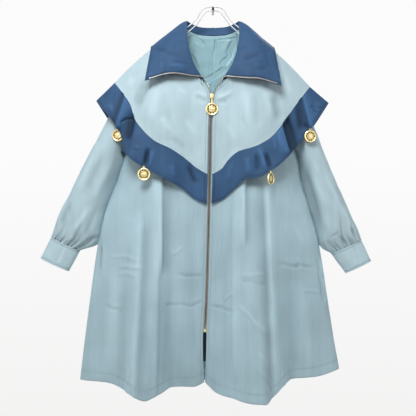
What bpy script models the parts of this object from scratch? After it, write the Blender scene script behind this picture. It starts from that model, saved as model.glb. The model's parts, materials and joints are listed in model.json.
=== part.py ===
"""Zip-up swing coat with a shoulder cape, hung on a double-wire hanger from a peg in the wall.

The wall is the plane Y = 0, the coat faces -Y, and the origin is the middle of the peg's end on the
wall. Left and right are the wearer's. The tables are in millimetres: "across" runs to the wearer's
left (+X), "drop" runs down from the peg (-Z) and "out" runs out from the wall (-Y).
"""

import math

import bpy
import numpy as np
from mathutils import Matrix, Vector
from mathutils.bvhtree import BVHTree

MM = 0.001
RIGHT = -1
LEFT = 1
SIDE_NAMES = {RIGHT: "right", LEFT: "left"}

# Cloth
CLOTH = 2.0
COLLAR_CLOTH = 2.4
LINING_CLOTH = 1.0
SEAM = 0.3
CAPE_LIFT = 3.6
LINING_LIFT = 0.5
LINING_DROP = 330
LINING_BELOW_NECK = 5

# How far cloth that lies on other cloth keeps off it, and how softly it is lifted there
CAPE_CLEAR = 4.4
COLLAR_CLEAR = 6.0
LIFT_REACH = 40
LIFT_SOFTENING = 3

# The zip line from the end of the neck opening to the hem: its place, and half the gap between the fronts
ZIP_COLUMNS = ("drop", "across", "out", "gap")
ZIP_ROWS = (
    (209, 0, 146, 26),
    (223, -1, 148, 13),
    (247, -3, 150, 4),
    (338, -7, 155, 4),
    (453, -9, 158, 4),
    (536, -11, 158, 4),
    (658, -14, 156, 4),
    (792, -18, 153, 4),
    (869, -22, 150, 4),
    (950, -23, 144, 3),
    (1020, -23, 130, 1.5),
)
ZIP_BOX_DROP = 869
CAPE_ZIP_MARGIN = 2.4
CAPE_NECK_MARGIN = 8
CAPE_MARGIN_DROPS = (212, 240)
ZIP_FADES = 4

# Neck seam, from the end of the zip opening over the shoulder to the centre back: across, drop and out
NECK_ROWS = (
    (26, 209, 146),
    (48, 172, 140),
    (63, 135, 128),
    (75, 90, 104),
    (80, 48, 80),
    (66, 58, 62),
    (35, 69, 54),
    (0, 71, 52),
)
NECK_POINT = 4
NECK_MIDDLE = (0, 20, 95)
NECK_SHARE = 0.34
SHOULDER_TIP = (218, 179, 80)
SHOULDER_SLOPE = 2.2
SHOULDER_LEVEL = 1.2

# Side seams below the armpit
SIDE_COLUMNS = ("drop", "right", "left", "out")
SIDE_ROWS = (
    (393, -236, 227, 82),
    (470, -262, 241, 82),
    (524, -285, 257, 82),
    (634, -313, 288, 82),
    (798, -337, 314, 82),
    (963, -358, 341, 82),
    (1016, -364, 352, 82),
)
ARMPIT_DROP = 393
HEM_LEVEL = 1016
PANEL_ROUNDING = 0.95

# Armholes between the shoulder tip and the armpit, as a share of the way in from both
ARMHOLE_COLUMNS = ("way", "front_in", "front_out", "back_in", "back_out")
ARMHOLE_ROWS = (
    (0.0, 0, 82, 0, 82),
    (0.2, 17, 93, 10, 70),
    (0.5, 24, 99, 15, 63),
    (0.8, 16, 92, 10, 69),
    (1.0, 0, 80, 0, 80),
)

# Hems, from the zip to the side seam
HEM_COLUMNS = ("across", "drop")
HEM_ROWS = {
    RIGHT: ((-22, 1012), (-34, 1024), (-62, 1027), (-109, 1026), (-140, 1036), (-184, 1050),
            (-232, 1031), (-291, 1017), (-366, 1015)),
    LEFT: ((-24, 1012), (-8, 1030), (12, 1043), (57, 1049), (108, 1058), (141, 1059),
           (166, 1038), (190, 1018), (226, 1007), (284, 1003), (354, 984)),
}
BACK_HEM_DROP = 1000

# Long folds: where the ridge starts and meets the hem, its reach to either side and its height at the hem
FOLD_COLUMNS = ("top", "foot", "zip_reach", "side_reach", "push", "start")
ZIP_CALM = 0.1
SIDE_CALM = 0.15
FRONT_FOLDS = {
    RIGHT: ((-128, -138, 18, 55, 24, 400), (-165, -186, 52, 62, 76, 430)),
    LEFT: ((82, 72, 16, 50, 20, 400), (128, 143, 80, 36, 82, 430), (40, 40, 26, 50, 24, 620)),
}
BACK_FOLDS = ((-190, -238, 50, 50, -28, 400), (-72, -85, 46, 46, -26, 420),
              (58, 74, 50, 50, -28, 420), (182, 226, 46, 46, -30, 400))
BACK_COLUMNS = ("drop", "out")
BACK_ROWS = ((50, 52), (166, 46), (393, 47), (700, 53), (1016, 57))

# Sleeves: the outer and inner edge of each section and how deep it is, from the shoulder to the cuff
SLEEVE_COLUMNS = ("outer_across", "outer_drop", "inner_across", "inner_drop", "depth")
SLEEVE_ROWS = {
    RIGHT: ((-259, 242, -254, 417, 70), (-290, 305, -267, 458, 66), (-324, 371, -288, 512, 64),
            (-359, 437, -302, 561, 64), (-391, 505, -313, 602, 66), (-422, 568, -319, 630, 66),
            (-434, 601, -333, 650, 56), (-443, 626, -364, 664, 42)),
    LEFT: ((246, 237, 245, 421, 70), (268, 300, 252, 462, 66), (293, 366, 264, 514, 64),
           (320, 434, 276, 564, 64), (349, 500, 288, 605, 66), (375, 557, 297, 641, 66),
           (394, 601, 308, 660, 56), (406, 634, 323, 671, 42)),
}
SLEEVE_OUT = 84
SLEEVE_HEAD = 0.34
UNDERARM_STAND = 11
UNDERARM_SHARE = 0.5
SLEEVE_GATHERS = 12
GATHER_HEIGHTS = (0, 0, 0, 0, 0, 0.5, 1.5, 1.2)
CUFF_COLUMNS = ("outer_across", "outer_drop", "inner_across", "inner_drop", "depth")
CUFF_ROWS = {
    RIGHT: ((-443, 626.1, -364, 664.1, 40), (-472, 683, -394, 719, 38)),
    LEFT: ((406, 634.1, 323, 671.1, 40), (433, 690, 362, 724, 38)),
}

# Cape, from the zip to the shoulder ridge: across, drop and out of the seam of light cloth and band, then
# of the band's free edge
CAPE_ROWS = {
    RIGHT: ((-15, 456, 163, -17, 536, 166), (-46, 438, 159, -51, 520, 158), (-73, 416, 161, -83, 494, 162),
            (-112, 389, 170, -130, 467, 180), (-155, 368, 169, -177, 442, 176),
            (-192, 333, 161, -217, 416, 178), (-211, 305, 147, -240, 390, 152),
            (-221, 272, 133, -249, 348, 130), (-244, 236, 120, -269, 316, 136),
            (-269, 204, 85, -319, 253, 85)),
    LEFT: ((-3, 456, 163, -5, 534, 166), (21, 443, 159, 25, 523, 159), (43, 416, 159, 55, 497, 162),
           (69, 395, 167, 86, 469, 178), (108, 384, 172, 121, 464, 183), (153, 359, 163, 166, 438, 181),
           (185, 323, 147, 207, 402, 158), (217, 277, 131, 241, 363, 128), (245, 240, 113, 278, 310, 124),
           (265, 215, 85, 316, 259, 85)),
}
CAPE_BACK_ROWS = ((-252, 236, 60, -290, 300, 56), (-222, 290, 37, -246, 362, 29),
                  (-165, 342, 25, -180, 422, 18), (-85, 380, 34, -90, 462, 37), (0, 395, 23, 0, 478, 15),
                  (85, 380, 34, 90, 462, 37), (165, 342, 25, 180, 422, 18), (222, 292, 37, 246, 364, 29),
                  (250, 245, 60, 289, 304, 56))
CAPE_SHOULDER_BULGE = 15
CAPE_BULGE_START = 0.26
CAPE_RIDGE_LIFT = 9
CAPE_ARCH_SKEW = 1.3

# Collar, from the zip to the centre back: across, drop and out of its roll, of the middle of the leaf and of
# its outer edge
COLLAR_ROWS = (
    (54, 196, 158, 108, 190, 168, 181, 208, 167),
    (50, 172, 153, 112, 165, 165, 178, 186, 160),
    (62, 128, 142, 116, 135, 153, 174, 158, 146),
    (71, 78, 114, 122, 95, 124, 170, 128, 122),
    (70, 36, 80, 118, 69, 81, 165, 107, 82.4),
    (57, 38, 58, 98, 76, 48, 134, 130, 42),
    (30, 44, 45, 50, 88, 33, 72, 150, 32),
    (0, 45, 43, 0, 90, 31, 0, 156, 31),
)
COLLAR_KEYS = (0.0, 0.1, 0.22, 0.6, 1.0)
COLLAR_STAND = 10

# Zip hardware
CHAIN_WIDTH = 3.0
CHAIN_DEPTH = 2.4
CHAIN_PROUD = 1.2
CHAIN_CLEARANCE = 0.4
CHAIN_COLLAR_CLEARANCE = 0.8
CHAIN_END = 0.4
SLIDER_CLEARANCE = 0.8
SLIDER_SIZE = (10.5, 13, 2.8)
SLIDER_DROP = 249
BOX_SIZE = (6.6, 8.5, 3.6)
PIN_RADIUS = 0.8
PIN_STAND = 5.6
EAR_GAP = 2.0
EAR_WIDTH = 1.2
EYE_RADIUS = 2.6
EYE_HOLE = 1.2
EYE_WIDTH = 3.2
PULL_LENGTH = 31
EAR_ROOT = 1.0
STEM_WIDTH = 2.8
STEM_DEPTH = 1.8
STEM_ROOT = 1.0

# Medallions; the profile's rows are a radius and how far the front stands out there
MEDAL_RADIUS = 16.5
MEDAL_PROFILE = ((6, 1.9), (7.5, 0.7), (11.5, 0.7), (13, 1.7), (16.5, 1.2))
MEDAL_BACK = 1.2
MEDAL_SIDES = 18
LOOP_RADIUS = 3.2
LOOP_HOLE = 1.5
LOOP_WIDTH = 1.6
LOOP_OVERLAP = 1.2
LOOP_CLEARANCE = 0.4

# Charms: the band they hang from, their place on its edge, the way they face from straight ahead, and
# whether they hang in front of the edge or behind it
CHARM_COLUMNS = ("name", "band", "across", "faces", "front")
CHARM_ROWS = (
    ("charm_right_front", "band_right", -183, 0, 1),
    ("charm_right_shoulder", "band_right", -258, -12, -1),
    ("charm_right_back", "band_back", -275, 205, 1),
    ("charm_left_front", "band_left", 148, 58, 1),
    ("charm_left_shoulder", "band_left", 261, 12, 1),
    ("charm_left_back", "band_back", 272, 155, 1),
)
CHARM_STEP = 0.2

# Hanger: across and drop of half of its upper and lower wire, from the crest to the neck, and its peg
UPPER_WIRE = ((0, -5.7), (14, -5), (25, -2), (32, 5), (37, 15), (43, 25), (50, 34), (59, 42), (72, 52))
LOWER_WIRE = ((0, 4.7), (12, 5.4), (21, 9), (27, 16), (32, 25), (38, 34), (45, 43), (55, 53), (66, 62))
WIRE_RADIUS = 2.0
WIRE_GAP = 12
WIRE_OUT = 80
WIRE_UNDER_SEAM = 8.0
WIRE_FALL = 8.0
WIRE_ARM_SHARES = (0.12, 0.8)
WIRE_ARM_STEPS = 5
WIRE_BEND_TURNS = (40, 90, 140)
WIRE_BEVEL = 2
PEG_LENGTH = 94
PEG_TOP = (3.0, 3.3)
PEG_BOTTOM = (6.5, -2.3)

# Mesh steps
ROWS_BELOW_ARMPIT = 8
ROWS_ABOVE_ARMPIT = 12
FRONT_NECK_STEPS = 8
BACK_NECK_STEPS = 6
SHOULDER_STEPS = 7
CAPE_STEPS = 24
CAPE_BACK_STEPS = 30
CAPE_ROWS_DOWN = 6
BAND_ROWS_DOWN = 2
COLLAR_LEAF_STEPS = 7
CUFF_STEPS = 24
CUFF_ROWS_DOWN = 2
LOOP_SIDES = 10
EYE_SIDES = 12
PIN_SIDES = 8
SHARP_DEGREES = 30

COLOURS = {
    "dusty_blue": ((0.36, 0.49, 0.55, 1), 0.7, 0.0),
    "navy": ((0.045, 0.11, 0.25, 1), 0.7, 0.0),
    "teal_lining": ((0.33, 0.55, 0.60, 1), 0.45, 0.0),
    "gold": ((0.80, 0.58, 0.22, 1), 0.3, 1.0),
    "zip_brass": ((0.30, 0.25, 0.19, 1), 0.45, 1.0),
    "white_wire": ((0.85, 0.85, 0.86, 1), 0.35, 0.0),
    "dark_steel": ((0.05, 0.05, 0.055, 1), 0.5, 0.6),
}


def column(rows, columns, name):
    """One named column of a table."""
    return np.array([row[columns.index(name)] for row in rows], float)


def smooth_through(keys, values, at):
    """A smooth curve through a table's values that never swings past them, read at the places asked for."""
    keys = np.asarray(keys, float)
    values = np.asarray(values, float)
    at = np.clip(np.asarray(at, float), keys[0], keys[-1])
    steps = np.diff(keys).reshape((-1,) + (1,) * (values.ndim - 1))
    rises = np.diff(values, axis=0) / steps
    before, beyond = rises[:-1], rises[1:]
    total = np.where(before * beyond > 0, before + beyond, 1)
    inner = np.where(before * beyond > 0, 2 * before * beyond / total, 0)
    slopes = np.concatenate([rises[:1], inner, rises[-1:]])
    after = np.clip(np.searchsorted(keys, at), 1, len(keys) - 1)
    before = after - 1
    span = keys[after] - keys[before]
    share = (at - keys[before]) / span
    wider = share.shape + (1,) * (values.ndim - 1)
    share = share.reshape(wider)
    span = span.reshape(wider)
    start_weight = (1 + 2 * share) * (1 - share) ** 2
    end_weight = share ** 2 * (3 - 2 * share)
    start_pull = share * (1 - share) ** 2 * span
    end_pull = share ** 2 * (share - 1) * span
    return (start_weight * values[before] + end_weight * values[after]
            + start_pull * slopes[before] + end_pull * slopes[after])


def read(rows, columns, name, drop):
    """A column of a table that runs down the coat, at a drop."""
    return smooth_through(column(rows, columns, "drop"), column(rows, columns, name), drop)


def read_straight(keys, points, at):
    """Points on straight lines between known points."""
    return np.stack([np.interp(at, keys, points[:, axis]) for axis in range(3)], axis=-1)


def unit(vectors):
    """Directions of unit length."""
    return vectors / np.maximum(np.linalg.norm(vectors, axis=-1, keepdims=True), 1e-9)


def ease(share):
    """A soft step from 0 to 1."""
    share = np.clip(share, 0, 1)
    return share * share * (3 - 2 * share)


def triple(across, drop, out):
    """Stack three tables of distances into points."""
    across, drop, out = np.broadcast_arrays(across, drop, out)
    return np.stack([across, drop, out], axis=-1).astype(float)


def in_metres(points):
    """Points of across, drop and out as X, Y and Z."""
    return np.stack([points[..., 0], -points[..., 2], -points[..., 1]], axis=-1) * MM


# Materials and meshes

def make_material(name):
    """A plain Principled material in one of the coat's colours."""
    colour, roughness, metallic = COLOURS[name]
    material = bpy.data.materials.new(name)
    material.use_nodes = True
    shader = material.node_tree.nodes["Principled BSDF"]
    shader.inputs["Base Color"].default_value = colour
    shader.inputs["Roughness"].default_value = roughness
    shader.inputs["Metallic"].default_value = metallic
    return material


def make_object(name, vertices, faces, material, origin=(0, 0, 0)):
    """A named mesh object whose vertices are in metres from its origin."""
    mesh = bpy.data.meshes.new(name)
    mesh.from_pydata([tuple(map(float, vertex)) for vertex in vertices], [], faces)
    mesh.materials.append(MATERIALS[material])
    mesh.shade_smooth()
    thing = bpy.data.objects.new(name, mesh)
    thing.location = origin
    bpy.context.scene.collection.objects.link(thing)
    return thing


def union(base, other):
    """Join a hidden shape to an object with a Boolean modifier."""
    other.hide_render = True
    other.display_type = "WIRE"
    joined = base.modifiers.new("join_" + other.name, "BOOLEAN")
    joined.operation = "UNION"
    joined.object = other


def grid_faces(rows, columns, start, closed, turned):
    """Quads of a grid of points, as vertex numbers."""
    faces = []
    last = rows if closed else rows - 1
    for row in range(last):
        after = (row + 1) % rows
        for step in range(columns - 1):
            quad = (start + row * columns + step, start + after * columns + step,
                    start + after * columns + step + 1, start + row * columns + step + 1)
            faces.append(quad[::-1] if turned else quad)
    return faces


def border_faces(rows, columns, closed, turned, keys):
    """Triangles between an outer grid's edges and the inner grid that follows it, split alike at a seam."""
    inner = rows * columns
    loops = []
    ring = list(range(rows)) + ([0] if closed else [])
    loops.append([row * columns for row in ring][::-1])
    loops.append([row * columns + columns - 1 for row in ring])
    if not closed:
        loops.append(list(range(columns)))
        loops.append([(rows - 1) * columns + step for step in range(columns)][::-1])
    faces = []
    for loop in loops:
        for first, second in zip(loop, loop[1:]):
            if keys[first] < keys[second]:
                pair = ((first, second, second + inner), (first, second + inner, first + inner))
            else:
                pair = ((first, second, first + inner), (second, second + inner, first + inner))
            faces += [face[::-1] if turned else face for face in pair]
    return faces


def face_crosses(points, closed):
    """Area-weighted normals of a grid's quads."""
    around = np.roll(points, -1, axis=0) if closed else points[1:]
    here = points if closed else points[:-1]
    return np.cross(around[:, 1:] - here[:, :-1], here[:, 1:] - around[:, :-1])


class Sheet:
    """A piece of cloth: a grid of outer points, turned so that its faces look outwards."""

    def __init__(self, name, points, material, thickness, turned=False, closed=False, seams=()):
        self.name = name
        self.points = points
        self.material = material
        self.thickness = thickness
        self.turned = turned
        self.closed = closed
        self.seams = seams
        self.normals = np.zeros_like(points)

    def add_normals(self, sums):
        """Add this grid's face normals to the sums kept for each place."""
        crosses = face_crosses(self.points, self.closed)
        if not self.turned:
            crosses = -crosses
        totals = np.zeros_like(self.points)
        after = np.roll(np.arange(len(self.points)), -1)[:len(crosses)]
        for rows in (np.arange(len(crosses)), after):
            np.add.at(totals[:, :-1], rows, crosses)
            np.add.at(totals[:, 1:], rows, crosses)
        for key, total in zip(self.keys(), totals.reshape(-1, 3)):
            sums[key] = sums.get(key, 0) + total

    def keys(self):
        """Rounded places of the points, which are the same on both sides of a seam."""
        return [tuple(place) for place in np.round(self.points.reshape(-1, 3), 3)]

    def take_normals(self, sums):
        """Read the shared normals back."""
        normals = np.array([sums[key] for key in self.keys()])
        normals /= np.maximum(np.linalg.norm(normals, axis=1, keepdims=True), 1e-12)
        self.normals = normals.reshape(self.points.shape)

    def moved(self, distance):
        """The grid moved out along its normals, with its seam edges drawn in by half a seam."""
        grid = self.points + self.normals * distance
        edges = {"first": (0, 1), "last": (-1, -2)}
        for axis, end in self.seams:
            border, inside = edges[end]
            view, normals = (values if axis == "rows" else values.swapaxes(0, 1)
                             for values in (grid, self.normals))
            step = view[inside] - view[border]
            step = step - normals[border] * (step * normals[border]).sum(axis=-1, keepdims=True)
            view[border] += unit(step) * SEAM / 2
        return grid

    def tree(self):
        """The outer grid as a search tree."""
        rows, columns = self.points.shape[:2]
        faces = grid_faces(rows, columns, 0, self.closed, self.turned)
        return BVHTree.FromPolygons(self.points.reshape(-1, 3).tolist(), faces)

    def wall(self):
        """Vertices in metres and faces of the whole wall."""
        outer = self.moved(0)
        inner = self.moved(-self.thickness)
        rows, columns = outer.shape[:2]
        faces = grid_faces(rows, columns, 0, self.closed, self.turned)
        faces += grid_faces(rows, columns, rows * columns, self.closed, not self.turned)
        faces += border_faces(rows, columns, self.closed, self.turned, self.keys())
        return np.concatenate([in_metres(outer).reshape(-1, 3), in_metres(inner).reshape(-1, 3)]), faces

    def wall_tree(self):
        """The whole wall as a search tree, in metres."""
        vertices, faces = self.wall()
        return BVHTree.FromPolygons(vertices.tolist(), faces)

    def build(self):
        """Make the wall."""
        make_object(self.name, *self.wall(), self.material)


def share_normals(sheets):
    """Give sheets that meet at seams the same normals there."""
    sums = {}
    for sheet in sheets:
        sheet.add_normals(sums)
    for sheet in sheets:
        sheet.take_normals(sums)


def with_middles(values):
    """A grid of values with the middles between them put in."""
    for axis in (0, 1):
        line = np.moveaxis(values, axis, 0)
        finer = np.repeat(line, 2, axis=0)[:-1]
        finer[1::2] = (line[1:] + line[:-1]) / 2
        values = np.moveaxis(finer, 0, axis)
    return values


def lift_clear(points, outwards, sheets, clear):
    """Move points outwards until they clear the sheets below, with soft slopes round the lifted places."""
    trees = [sheet.tree() for sheet in sheets]
    fine, ahead = with_middles(points), unit(with_middles(outwards))
    needed = np.zeros(fine.shape[:2])
    for place in np.ndindex(needed.shape):
        start = Vector(fine[place] + ahead[place] * LIFT_REACH)
        for tree in trees:
            distance = tree.ray_cast(start, Vector(-ahead[place]), LIFT_REACH + clear)[3]
            if distance is not None:
                needed[place] = max(needed[place], LIFT_REACH + clear - distance)
    needed = np.pad(needed, 1)
    rows, columns = points.shape[:2]
    near = [needed[row:row + 2 * rows - 1:2, step:step + 2 * columns - 1:2]
            for row in range(3) for step in range(3)]
    lift = np.max(near, axis=0)
    for _ in range(LIFT_SOFTENING):
        padded = np.pad(lift, 1, mode="edge")
        around = (padded[:-2, 1:-1] + padded[2:, 1:-1] + padded[1:-1, :-2] + padded[1:-1, 2:]) / 4
        lift = np.maximum(lift, around)
    return points + outwards * lift[..., None]


# Coat body

def zip_edge(side, drop):
    """Front edge beside the zip: its across and out."""
    across = read(ZIP_ROWS, ZIP_COLUMNS, "across", drop) + side * read(ZIP_ROWS, ZIP_COLUMNS, "gap", drop)
    return across, read(ZIP_ROWS, ZIP_COLUMNS, "out", drop)


def side_across(side, drop):
    """Side seam's place."""
    return read(SIDE_ROWS, SIDE_COLUMNS, SIDE_NAMES[side], drop)


def neck_seam(side, places):
    """Points on the neck seam, whose rows are whole numbers, straight between half rows."""
    halves = np.arange(2 * len(NECK_ROWS) - 1) / 2
    curve = smooth_through(np.arange(len(NECK_ROWS)), np.array(NECK_ROWS, float), halves)
    points = read_straight(halves, curve, places)
    points[..., 0] *= side
    return points


def shoulder_seam(side, shares):
    """Points on the shoulder seam from the neck to the shoulder tip."""
    start = np.array(NECK_ROWS[NECK_POINT], float)
    points = start + np.asarray(shares)[..., None] * (np.array(SHOULDER_TIP, float) - start)
    points[..., 0] *= side
    return points


def fold_heights(folds, across, drop, hem):
    """How far the long folds push the cloth out."""
    total = np.zeros(np.broadcast(across, drop).shape)
    for row in folds:
        fold = dict(zip(FOLD_COLUMNS, row))
        way = np.clip((drop - fold["start"]) / (hem - fold["start"]), 0, 1)
        offset = across - (fold["top"] + (fold["foot"] - fold["top"]) * way)
        reach = np.where(offset * np.sign(fold["foot"]) > 0, fold["side_reach"], fold["zip_reach"])
        total += fold["push"] * way * np.exp(-(offset / reach) ** 2)
    return total


def side_edge(side, hem, panel):
    """The side seam and armhole of a panel, from the hem up: across, drop and out."""
    below = np.linspace(hem, ARMPIT_DROP, ROWS_BELOW_ARMPIT + 1)
    way = np.linspace(0, 1, ROWS_ABOVE_ARMPIT + 1)
    tip = SHOULDER_TIP
    keys = column(ARMHOLE_ROWS, ARMHOLE_COLUMNS, "way")
    inset = smooth_through(keys, column(ARMHOLE_ROWS, ARMHOLE_COLUMNS, panel + "_in"), way)
    arm_out = smooth_through(keys, column(ARMHOLE_ROWS, ARMHOLE_COLUMNS, panel + "_out"), way)
    armpit = side_across(side, ARMPIT_DROP)
    arm_across = armpit + (side * tip[0] - armpit) * way - side * inset
    arm_drop = ARMPIT_DROP + (tip[1] - ARMPIT_DROP) * way
    across = np.concatenate([side_across(side, below), arm_across[1:]])
    drop = np.concatenate([below, arm_drop[1:]])
    out = np.concatenate([read(SIDE_ROWS, SIDE_COLUMNS, "out", below), arm_out[1:]])
    return across, drop, out


def settle_top(points, top, heights):
    """Bring the upper rows of a panel round to its top edge."""
    start = heights[ROWS_BELOW_ARMPIT]
    way = np.clip((heights - start) / (1 - start), 0, 1)
    weight = way ** SHOULDER_SLOPE
    return points + (top - points[:, -1])[:, None, :] * weight[None, :, None]


def panel_shares(neck_steps):
    """Steps across a panel, from the middle past the neck to the shoulder tip."""
    return np.concatenate([np.linspace(0, NECK_SHARE, neck_steps + 1),
                           np.linspace(NECK_SHARE, 1, SHOULDER_STEPS + 1)[1:]])


def level_tops(top, shares):
    """Drops that a panel's steps aim for, level with the shoulder tip near the armhole."""
    way = np.clip((np.abs(shares) - NECK_SHARE) / (1 - NECK_SHARE), 0, 1)
    return SHOULDER_TIP[1] + (top[:, 1] - SHOULDER_TIP[1]) * (1 - way) ** SHOULDER_LEVEL


def hem_drop(side, across):
    """Drop of a front's hem."""
    rows = sorted(HEM_ROWS[side])
    return smooth_through(column(rows, HEM_COLUMNS, "across"), column(rows, HEM_COLUMNS, "drop"), across)


def opening_edge(side, drop):
    """Across of a front's inner edge: the zip, and above it the neck seam."""
    neck = neck_seam(side, np.arange(NECK_POINT, -1, -1))
    above = np.interp(drop, neck[:, 1], neck[:, 0])
    return np.where(drop < neck[-1, 1], above, zip_edge(side, drop)[0])


def front_points(side):
    """Outer points of a front, from the zip to the side and from the hem up."""
    shares = panel_shares(FRONT_NECK_STEPS)
    top = np.concatenate([neck_seam(side, np.linspace(0, NECK_POINT, FRONT_NECK_STEPS + 1)),
                          shoulder_seam(side, np.linspace(0, 1, SHOULDER_STEPS + 1))[1:]])
    spread = np.sin(shares * math.pi / 2)
    depth = np.cos(shares * math.pi / 2) ** PANEL_ROUNDING
    hem_edge = zip_edge(side, HEM_LEVEL)[0]
    hem = hem_drop(side, hem_edge + (side_across(side, HEM_LEVEL) - hem_edge) * spread)
    edge_across, edge_drop, edge_out = side_edge(side, hem[-1], "front")
    heights = (edge_drop - hem[-1]) / (SHOULDER_TIP[1] - hem[-1])
    drop = hem[:, None] + (level_tops(top, shares) - hem)[:, None] * heights[None, :]
    zip_out = zip_edge(side, drop[0])[1]
    middle = opening_edge(side, drop)
    across = middle + (edge_across - middle) * spread[:, None]
    out = edge_out + (zip_out - edge_out) * depth[:, None]
    window = ease(shares / ZIP_CALM) * ease((1 - shares) / SIDE_CALM)
    out = out + fold_heights(FRONT_FOLDS[side], across, drop, hem[:, None]) * window[:, None]
    points = settle_top(triple(across, drop, out), top, heights)
    points[0, :, 0], points[0, :, 2] = zip_edge(side, points[0, :, 1])
    points[0, -1] = top[0]
    return points


def back_points():
    """Outer points of the back, from the right side to the left and from the hem up."""
    shoulder = np.linspace(1, 0, SHOULDER_STEPS + 1)
    neck = np.linspace(NECK_POINT, len(NECK_ROWS) - 1, BACK_NECK_STEPS + 1)
    top = np.concatenate([shoulder_seam(RIGHT, shoulder), neck_seam(RIGHT, neck)[1:],
                          neck_seam(LEFT, neck[::-1])[1:], shoulder_seam(LEFT, shoulder[::-1])[1:]])
    half = panel_shares(BACK_NECK_STEPS)
    shares = np.concatenate([-half[::-1], half[1:]])
    spread = np.abs(np.sin(shares * math.pi / 2))
    depth = np.cos(shares * math.pi / 2) ** PANEL_ROUNDING
    edges = {}
    for side in (RIGHT, LEFT):
        side_hem = float(hem_drop(side, side_across(side, HEM_LEVEL)))
        edges[side] = side_edge(side, side_hem, "back")
    points = []
    for share, reach, deep, above, level in zip(shares, spread, depth, top, level_tops(top, shares)):
        side = RIGHT if share < 0 else LEFT
        edge_across, edge_drop, edge_out = edges[side]
        side_hem = edge_drop[0]
        heights = (edge_drop - side_hem) / (SHOULDER_TIP[1] - side_hem)
        hem = BACK_HEM_DROP + (side_hem - BACK_HEM_DROP) * reach ** 2
        drop = hem + (level - hem) * heights
        middle = read(ZIP_ROWS, ZIP_COLUMNS, "across", drop) / 2
        across = middle + (edge_across - middle) * reach
        out = edge_out + (read(BACK_ROWS, BACK_COLUMNS, "out", drop) - edge_out) * deep
        window = ease((1 - abs(share)) / SIDE_CALM)
        out = out + fold_heights(BACK_FOLDS, across, drop, hem) * window
        line = triple(across, drop, out)
        points.append(settle_top(line[None], above[None], heights)[0])
    return np.array(points)


def lining_sheet(back):
    """The lining of the back behind the neck opening, made from the back's own points."""
    grid = back.moved(-CLOTH - LINING_LIFT)[SHOULDER_STEPS + 2:-SHOULDER_STEPS - 2]
    middle = grid[len(grid) // 2]
    grid = grid[:, np.argmax(middle[:, 1] < LINING_DROP):].copy()
    down = unit(grid[:, -2] - grid[:, -1])
    grid[:, -1] += down * LINING_BELOW_NECK
    return Sheet("lining", grid, "teal_lining", LINING_CLOTH, turned=back.turned)


class Neck:
    """Half of the neck seam, with the body's outward directions there and the ways into the opening."""

    def __init__(self, side, front, back):
        half = slice(SHOULDER_STEPS + 1, SHOULDER_STEPS + BACK_NECK_STEPS + 1)
        outwards = back.normals if side == RIGHT else back.normals[::-1]
        self.places = np.arange(FRONT_NECK_STEPS + BACK_NECK_STEPS + 1) / 2
        self.seam = neck_seam(side, self.places)
        self.outwards = np.concatenate([front.normals[:FRONT_NECK_STEPS + 1, -1], outwards[half, -1]])
        along = unit(np.gradient(self.seam, axis=0))
        inwards = unit(np.cross(along, self.outwards))
        ahead = ((np.array(NECK_MIDDLE, float) - self.seam) * inwards).sum(axis=1, keepdims=True)
        self.inwards = inwards * np.sign(ahead)

    def moved(self, places, outwards, inwards):
        """Seam points moved out from the body and into the opening."""
        moved = self.seam + self.outwards * outwards + self.inwards * inwards
        return read_straight(self.places, moved, places)


# Sleeves and cuffs

def armhole_ring(front, back):
    """Values along the armhole, from the shoulder tip down the front edge and up the back edge."""
    start = ROWS_BELOW_ARMPIT
    return np.concatenate([front[start:][::-1], back[start + 1:-1]])


def section_ring(row, columns, turns, swell):
    """An oval section between an outer and an inner edge, from the outer edge over the front."""
    values = dict(zip(columns, row))
    outer = np.array([values["outer_across"], values["outer_drop"], SLEEVE_OUT], float)
    inner = np.array([values["inner_across"], values["inner_drop"], SLEEVE_OUT], float)
    middle = (outer + inner) / 2
    half = (outer - inner) / 2
    width = np.linalg.norm(half)
    ring = middle + np.outer(np.cos(turns) * (1 + swell / width), half)
    ring[:, 2] += np.sin(turns) * (values["depth"] / 2 + swell)
    return ring


def sleeve_points(side, ring, outwards):
    """Outer points of a sleeve, round the ring and from the armhole to the cuff."""
    turns = np.arange(len(ring)) * 2 * math.pi / len(ring)
    wave = np.cos(SLEEVE_GATHERS * turns)
    rings = [ring]
    for row, height in zip(SLEEVE_ROWS[side], GATHER_HEIGHTS):
        rings.append(section_ring(row, SLEEVE_COLUMNS, turns, height * wave))
    under = (1 - np.cos(turns)) / 2
    head = ring + (rings[1] - ring) * SLEEVE_HEAD + outwards * (UNDERARM_STAND * under)[:, None]
    rings[0] = ring + unit(head - ring) * np.where(under > UNDERARM_SHARE, SEAM, 0)[:, None]
    rings.insert(1, head)
    return np.stack(rings, axis=1)


def cuff_points(side):
    """Outer points of a cuff, from the sleeve to its open end."""
    turns = np.arange(CUFF_STEPS) * 2 * math.pi / CUFF_STEPS
    top, bottom = (section_ring(row, CUFF_COLUMNS, turns, np.zeros(CUFF_STEPS)) for row in CUFF_ROWS[side])
    ways = np.linspace(0, 1, CUFF_ROWS_DOWN + 1)
    gap = (bottom - top) * SEAM / np.linalg.norm(bottom - top, axis=1, keepdims=True)
    return np.stack([top + gap + (bottom - top - gap) * way for way in ways], axis=1)


# Cape and band

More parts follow.
